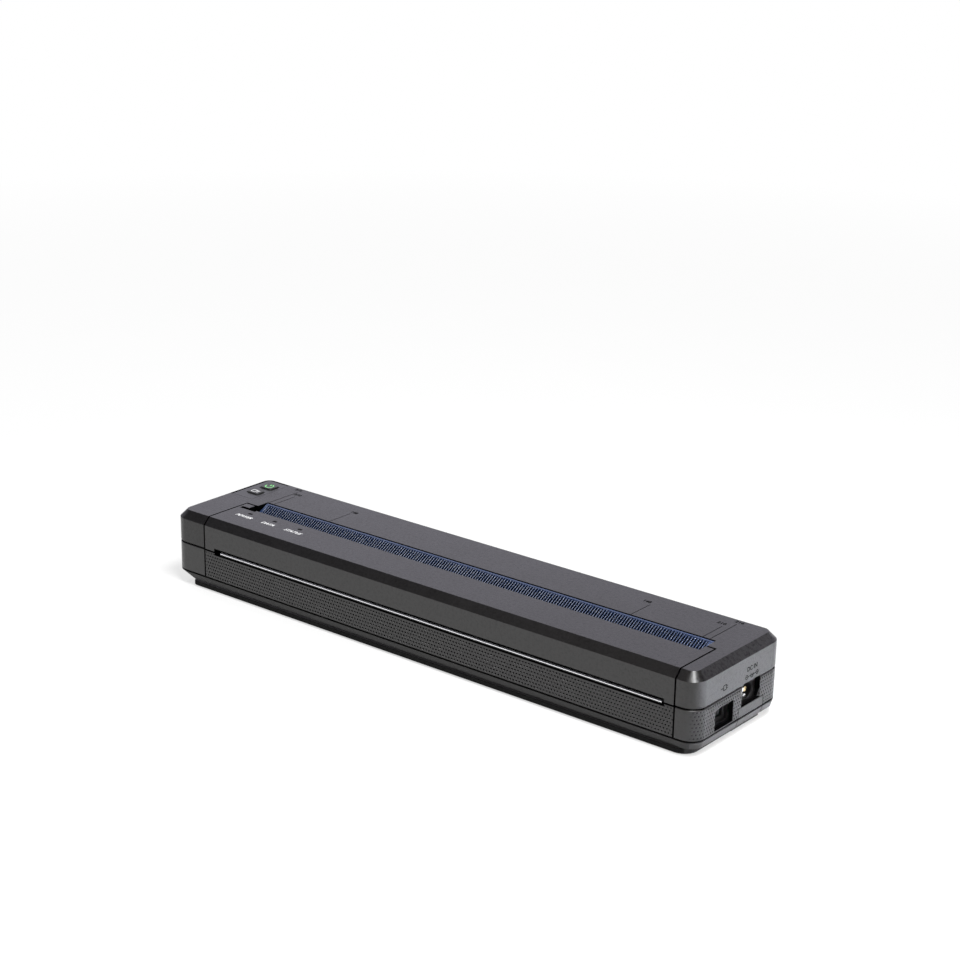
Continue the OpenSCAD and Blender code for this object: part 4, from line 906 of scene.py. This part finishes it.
def dimpled(name, host, start, count, rows, degrees, along_x):
    """A closed plate of staggered dimples, cut to the wall that it lies in."""
    every_second_row = (0, 0, 2 * pitch)
    even_rows, odd_rows = (rows + 1) // 2, rows // 2
    parts = []
    for shift, lift, columns, stack in (
            (0, 0, count, even_rows), (pitch / 2, pitch, count - 1, odd_rows)):
        piece = bpy.data.objects.new("cells", cell.data.copy())
        scene.collection.objects.link(piece)
        moved(piece, start + shift, field_z0 + lift)
        repeated(piece, columns, (pitch, 0, 0))
        parts.append(repeated(piece, stack, every_second_row))
    for x in (start, start + (count - 0.5) * pitch):
        bpy.ops.object.select_all(action="DESELECT")
        bpy.ops.mesh.primitive_plane_add(size=1, rotation=(math.radians(90), 0, 0))
        half = bpy.context.object
        half.scale = (pitch / 2 * mm, pitch * mm, 1)
        half.location = ((x + pitch / 4) * mm, front * mm, (field_z0 + 1.5 * pitch) * mm)
        bpy.ops.object.transform_apply(location=True, rotation=True, scale=True)
        parts.append(repeated(half, odd_rows, every_second_row))
    plate = joined(parts)
    bpy.ops.object.mode_set(mode="EDIT")
    bpy.ops.mesh.select_mode(type="VERT")
    bpy.ops.mesh.select_all(action="SELECT")
    bpy.ops.mesh.remove_doubles(threshold=0.004 * mm)
    bpy.ops.mesh.select_all(action="DESELECT")
    bpy.ops.mesh.select_non_manifold()
    bpy.ops.mesh.extrude_region_move(TRANSFORM_OT_translate={"value": (0, plate_t * mm, 0)})
    bpy.ops.mesh.edge_face_add()
    bpy.ops.mesh.select_all(action="SELECT")
    bpy.ops.mesh.normals_make_consistent(inside=False)
    bpy.ops.object.mode_set(mode="OBJECT")
    turned(plate, degrees, along_x)
    if field_z0 + rows * pitch > dots_top:
        cut(plate, [block(-130, 130, -30, 30, dots_top, dots_top + 3)])
    if name == "right_dimples":
        moved(plate, -0.003, 0)
        cut(plate, [merged_copy(host)], "INTERSECT")
    smooth_shading(plate)
    belongs(plate, name, host, finishes["dotted_shell"])
    open_edges = len(plate.data.edges) - sum(len(f.vertices) for f in plate.data.polygons) / 2
    print(name, len(plate.data.polygons), "faces, open edges:", open_edges)


for name, field in fields.items():
    dimpled(name, *field)
bpy.data.objects.remove(cell)

# %% [markdown]
# ## What shows inside the openings
# Behind the data opening a black shroud hides the board, and inside the metal mouth a black
# tongue carries four contacts. The round inlet grips its plug with two bright springs whose tips
# are turned in. At each end of the ribbed guide a solid end block carries the last of the ramp.
# Each is built from blocks that are bevelled, cut or pushed into shape.

# %% Shroud and tongue of the data socket
shroud = block(123.45, 125.35, -15.2, -4.0, 6.8, 14.7)
cut(shroud, [block(124.2, 126.0, -14.7, -4.5, 7.3, 14.2),
             block(123.0, 125.0, -13.3, -5.9, 8.95, 12.5)])
smooth_shading(shroud)
belongs(shroud, "socket_shroud", "cable_socket", finishes["black_plastic"])
tongue = block(117.6, 122.97, -12.2, -7.0, 10.58, 11.72, 0.12)
smooth_shading(tongue)
belongs(tongue, "socket_tongue", "cable_socket", finishes["black_plastic"])
contact_places = (-11.7, -10.35, -9.45, -8.2)
strips = [block(118.0, 122.6, y, y + 0.7, 11.66, 11.78, 0.03) for y in contact_places]
belongs(joined(strips), "socket_contacts", "cable_socket",
        finishes["brass_contact"])
print("data socket filled")

# %% Springs of the round inlet
jack_y, jack_z = 8.2, 13.9


def spring(turn_degrees):
    """A leaf along the bore with its tip turned in, turned round the bore's axis."""
    leaf = block(116.0, 124.9, 2.35, 2.75, -0.8, 0.8, 0.1)
    tip = block(124.2, 125.0, 1.5, 2.7, -0.8, 0.8, 0.25)
    leaf = joined([leaf, tip])
    leaf.rotation_euler = (math.radians(turn_degrees), 0, 0)
    leaf.location = (0, jack_y * mm, jack_z * mm)
    lone(leaf)
    bpy.ops.object.transform_apply(location=True, rotation=True, scale=True)
    return leaf


springs = joined([spring(165), spring(248)])
smooth_shading(springs)
stand_in(springs, "inlet_springs", "inlet_contact")
print("inlet springs:", len(springs.data.polygons), "faces")

# %% End blocks of the guide
def end_block(name, x0, x1):
    """A flat bar whose front edge is pushed down, so that it follows the ramp."""
    ramp = block(x0, x1, -7.9, 1.78, 29.2, 30.72)
    lone(ramp)
    for vertex in ramp.data.vertices:
        vertex.select = vertex.co.y < 0
    bpy.ops.object.mode_set(mode="EDIT")
    bpy.ops.mesh.select_mode(type="VERT")
    bpy.ops.transform.translate(value=(0, 0, -5.2 * mm))
    bpy.ops.mesh.select_all(action="SELECT")
    bpy.ops.mesh.bevel(offset=0.18 * mm, segments=2, affect="EDGES")
    bpy.ops.object.mode_set(mode="OBJECT")
    smooth_shading(ramp)
    return belongs(ramp, name, "paper_guide", finishes["blue_guide"])


end_block("guide_end_right", 109.3, 114.25)
end_block("guide_end_left", -103.95, -100.7)
print("end blocks ready")

# %% [markdown]
# ## Printed marks
# The casing carries small printed marks: a word beside each light, the sheet widths in
# millimetres, a sign on each button, and signs by the two sockets. Ink is a layer with a
# thickness, so each mark is a thin solid that lies on the plastic. A word starts as a text curve.
# It is made a mesh while it still lies flat, and only then laid on its face, so that its place is
# written into the mesh itself. A painted image would do, but it would blur close up.

# %% Inks
def ink(name, colour):
    """A printed ink, slightly uneven where the screen lifted."""
    finish = Finish(name)
    here, x, y, z = finish.place()
    uneven = finish.noise(here, 2.5, detail=3.0)
    tone = finish.node("ShaderNodeVectorMath", {"operation": "SCALE"},
                       {0: colour, "Scale": 1 + (uneven - 0.5) * 0.2})
    return finish.show(Base_Color=tone, Roughness=(0.8 + (uneven - 0.5) * 0.2).limit(),
                       Normal=finish.bump(uneven, 0.004), Specular_IOR_Level=0.05)


inks = {"white_plastic": ink("white_ink", (0.9, 0.9, 0.92)),
        "black_plastic": ink("black_ink", (0.003, 0.003, 0.003)),
        "button_plastic": ink("green_ink", (0.3, 0.75, 0.32))}
ink_mm = 0.03
on_top = ((1, 0, 0), (0, 1, 0))
on_right_end = ((0, 1, 0), (0, 0, 1))


def lay(piece, place_mm, face):
    """Lays a flat piece on a face and writes the place into its mesh."""
    along, upward = Vector(face[0]), Vector(face[1])
    turn_to = Matrix((along, upward, along.cross(upward))).transposed().to_4x4()
    piece.matrix_world = Matrix.Translation(Vector(place_mm) * mm) @ turn_to
    lone(piece)
    bpy.ops.object.transform_apply(location=True, rotation=True, scale=True)


def word(text, tall_mm, place_mm, face, lean=0.0, bold_mm=0.0):
    """A printed word with capitals tall_mm high, its middle at a place on a face."""
    bpy.ops.object.select_all(action="DESELECT")
    bpy.ops.object.text_add(location=(0, 0, 0))
    written = bpy.context.object
    written.data.body = text
    written.data.size = tall_mm * mm / 0.7
    written.data.shear = lean
    written.data.offset = bold_mm * mm
    written.data.extrude = ink_mm * mm
    written.data.resolution_u = 3
    written.data.align_x = "CENTER"
    written.data.align_y = "CENTER"
    bpy.ops.object.convert(target="MESH")
    lay(written, place_mm, face)
    return written


def bar(from_mm, to_mm, wide_mm, place_mm, face):
    """A straight printed line between two points of a mark."""
    (ax, ay), (bx, by) = from_mm, to_mm
    bpy.ops.object.select_all(action="DESELECT")
    bpy.ops.mesh.primitive_cube_add(size=1, location=(0, 0, 0))
    line = bpy.context.object
    line.scale = (math.hypot(bx - ax, by - ay) * mm, wide_mm * mm, 2 * ink_mm * mm)
    line.rotation_euler = (0, 0, math.atan2(by - ay, bx - ax))
    line.location = ((ax + bx) / 2 * mm, (ay + by) / 2 * mm, 0)
    lone(line)
    bpy.ops.object.transform_apply(location=True, rotation=True, scale=True)
    lay(line, place_mm, face)
    return line


def ring(middle_mm, radius_mm, wide_mm, place_mm, face, sweep=360, start=0):
    """A printed ring, or a part of one, spun from a small block."""
    bpy.ops.object.select_all(action="DESELECT")
    bpy.ops.mesh.primitive_plane_add(size=1, location=(0, 0, 0))
    hoop = bpy.context.object
    hoop.scale = (wide_mm * mm, 2 * ink_mm * mm, 1)
    hoop.rotation_euler = (math.radians(90), 0, math.radians(start))
    angle = math.radians(start)
    hoop.location = (radius_mm * math.cos(angle) * mm, radius_mm * math.sin(angle) * mm, 0)
    lone(hoop)
    bpy.ops.object.transform_apply(location=True, rotation=True, scale=True)
    bpy.ops.object.mode_set(mode="EDIT")
    bpy.ops.mesh.select_all(action="SELECT")
    bpy.ops.mesh.spin(steps=max(8, round(sweep / 11)), angle=math.radians(sweep),
                      center=(0, 0, 0), axis=(0, 0, 1))
    bpy.ops.mesh.select_all(action="SELECT")
    bpy.ops.mesh.remove_doubles(threshold=0.001 * mm)
    bpy.ops.mesh.normals_make_consistent(inside=False)
    bpy.ops.object.mode_set(mode="OBJECT")
    hoop.location = (middle_mm[0] * mm, middle_mm[1] * mm, 0)
    lone(hoop)
    bpy.ops.object.transform_apply(location=True)
    lay(hoop, place_mm, face)
    return hoop


def strokes(place_mm, face, *lines):
    """The straight lines of a mark, each given by its two ends and its width."""
    return [bar(start, end, wide_mm, place_mm, face) for start, end, wide_mm in lines]


def print_mark(name, host, slot, parts):
    """Joins the parts of a mark and inks it."""
    return belongs(joined(parts), name, host, inks[slot])


print("printing tools ready")

# %% Words by the lights and widths by the marks
ink_above = 0.01
word_y, word_mm, top_z = -15.3, 1.75, case_top + ink_above
for text, x in (("POWER", -99.8), ("DATA", -86.2), ("STATUS", -72.6)):
    print_mark("word_" + text.lower(), "release_cover", "white_plastic",
               [word(text, word_mm, (x, word_y, top_z), on_top, lean=0.3, bold_mm=0.05)])
sheet_mid, digit_mm = 4.2, 1.7
for width, outer_y, left_of_mark, inward in (
        (216, 22.6, 1.5, 0.0), (210, 17.9, 0.6, 1.6), (148, 17.4, -0.6, 2.6)):
    for side in (-1, 1):
        x = sheet_mid + side * width / 2 - (left_of_mark if side < 0 else inward)
        name = "width_%d_%s" % (width, "left" if side < 0 else "right")
        print_mark(name, "top_cover", "black_plastic",
                   [word(str(width), digit_mm, (x, outer_y, top_z), on_top, bold_mm=0.04)])
print("words and widths printed")

# %% Signs on the buttons and beside the sockets
button_top = 31.7 + ink_above
power_at = (-117.2, 17.3, button_top)
print_mark("power_sign", "power_button", "button_plastic", [
    ring((0, 0), 1.75, 0.5, power_at, on_top, sweep=310, start=115),
    bar((0, 0.2), (0, 2.0), 0.5, power_at, on_top)])
print_mark("feed_sign", "feed_button", "white_plastic", strokes(
    (-117.2, 9.1, button_top), on_top,
    ((-1.7, -1.1), (-1.7, 1.1), 0.35),
    ((-1.7, 1.1), (0.3, 1.1), 0.35),
    ((0.3, 1.1), (0.3, -1.1), 0.35),
    ((0.3, -1.1), (-1.7, -1.1), 0.35),
    ((1.4, -1.1), (1.4, 1.1), 0.35),
    ((0.9, 0.5), (1.4, 1.1), 0.3),
    ((1.9, 0.5), (1.4, 1.1), 0.3)))
end_x = case_half_l + 0.005
print_mark("data_sign", "top_cover", "black_plastic", strokes(
    (end_x, -10.3, 21.6), on_right_end,
    ((-2.2, 0), (-0.6, 0), 0.3),
    ((-0.6, -0.9), (-0.6, 0.9), 0.35),
    ((-0.6, 0.9), (1.2, 0.9), 0.3),
    ((-0.6, -0.9), (1.2, -0.9), 0.3),
    ((1.2, -0.9), (1.2, 0.9), 0.3),
    ((1.2, 0.4), (2.1, 0.4), 0.25),
    ((1.2, -0.4), (2.1, -0.4), 0.25)))
polarity_at = (end_x, 7.4, 20.6)
print_mark("polarity_sign", "top_cover", "black_plastic", [
    ring((-3.4, 0), 0.75, 0.25, polarity_at, on_right_end),
    ring((0, 0), 0.9, 0.25, polarity_at, on_right_end, sweep=270, start=45),
    ring((0, 0), 0.2, 0.4, polarity_at, on_right_end),
    ring((3.4, 0), 0.75, 0.25, polarity_at, on_right_end)] + strokes(
    polarity_at, on_right_end,
    ((-3.8, 0), (-3.0, 0), 0.25),
    ((-2.65, 0), (-0.9, 0), 0.25),
    ((0.2, 0), (2.65, 0), 0.25),
    ((3.0, 0), (3.8, 0), 0.25),
    ((3.4, -0.4), (3.4, 0.4), 0.25)))
print_mark("inlet_word", "top_cover", "black_plastic",
           [word("DC IN", 1.7, (end_x, 7.4, 23.4), on_right_end, bold_mm=0.04)])
print("signs printed")

# %% [markdown]
# ## Close the lesson
# The last cell notes the size before and after, so that the dressing can be shown to have kept the
# printer's size, and closes the frame.

# %% Note the sizes and finish
shown_box = [list(corner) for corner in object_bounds()]
scene.view_settings.view_transform = "Standard"
before, after = cad_box[0] + cad_box[1], shown_box[0] + shown_box[1]
print("box moved by, in mm:", [round((b - a) / mm, 2) for a, b in zip(before, after)])
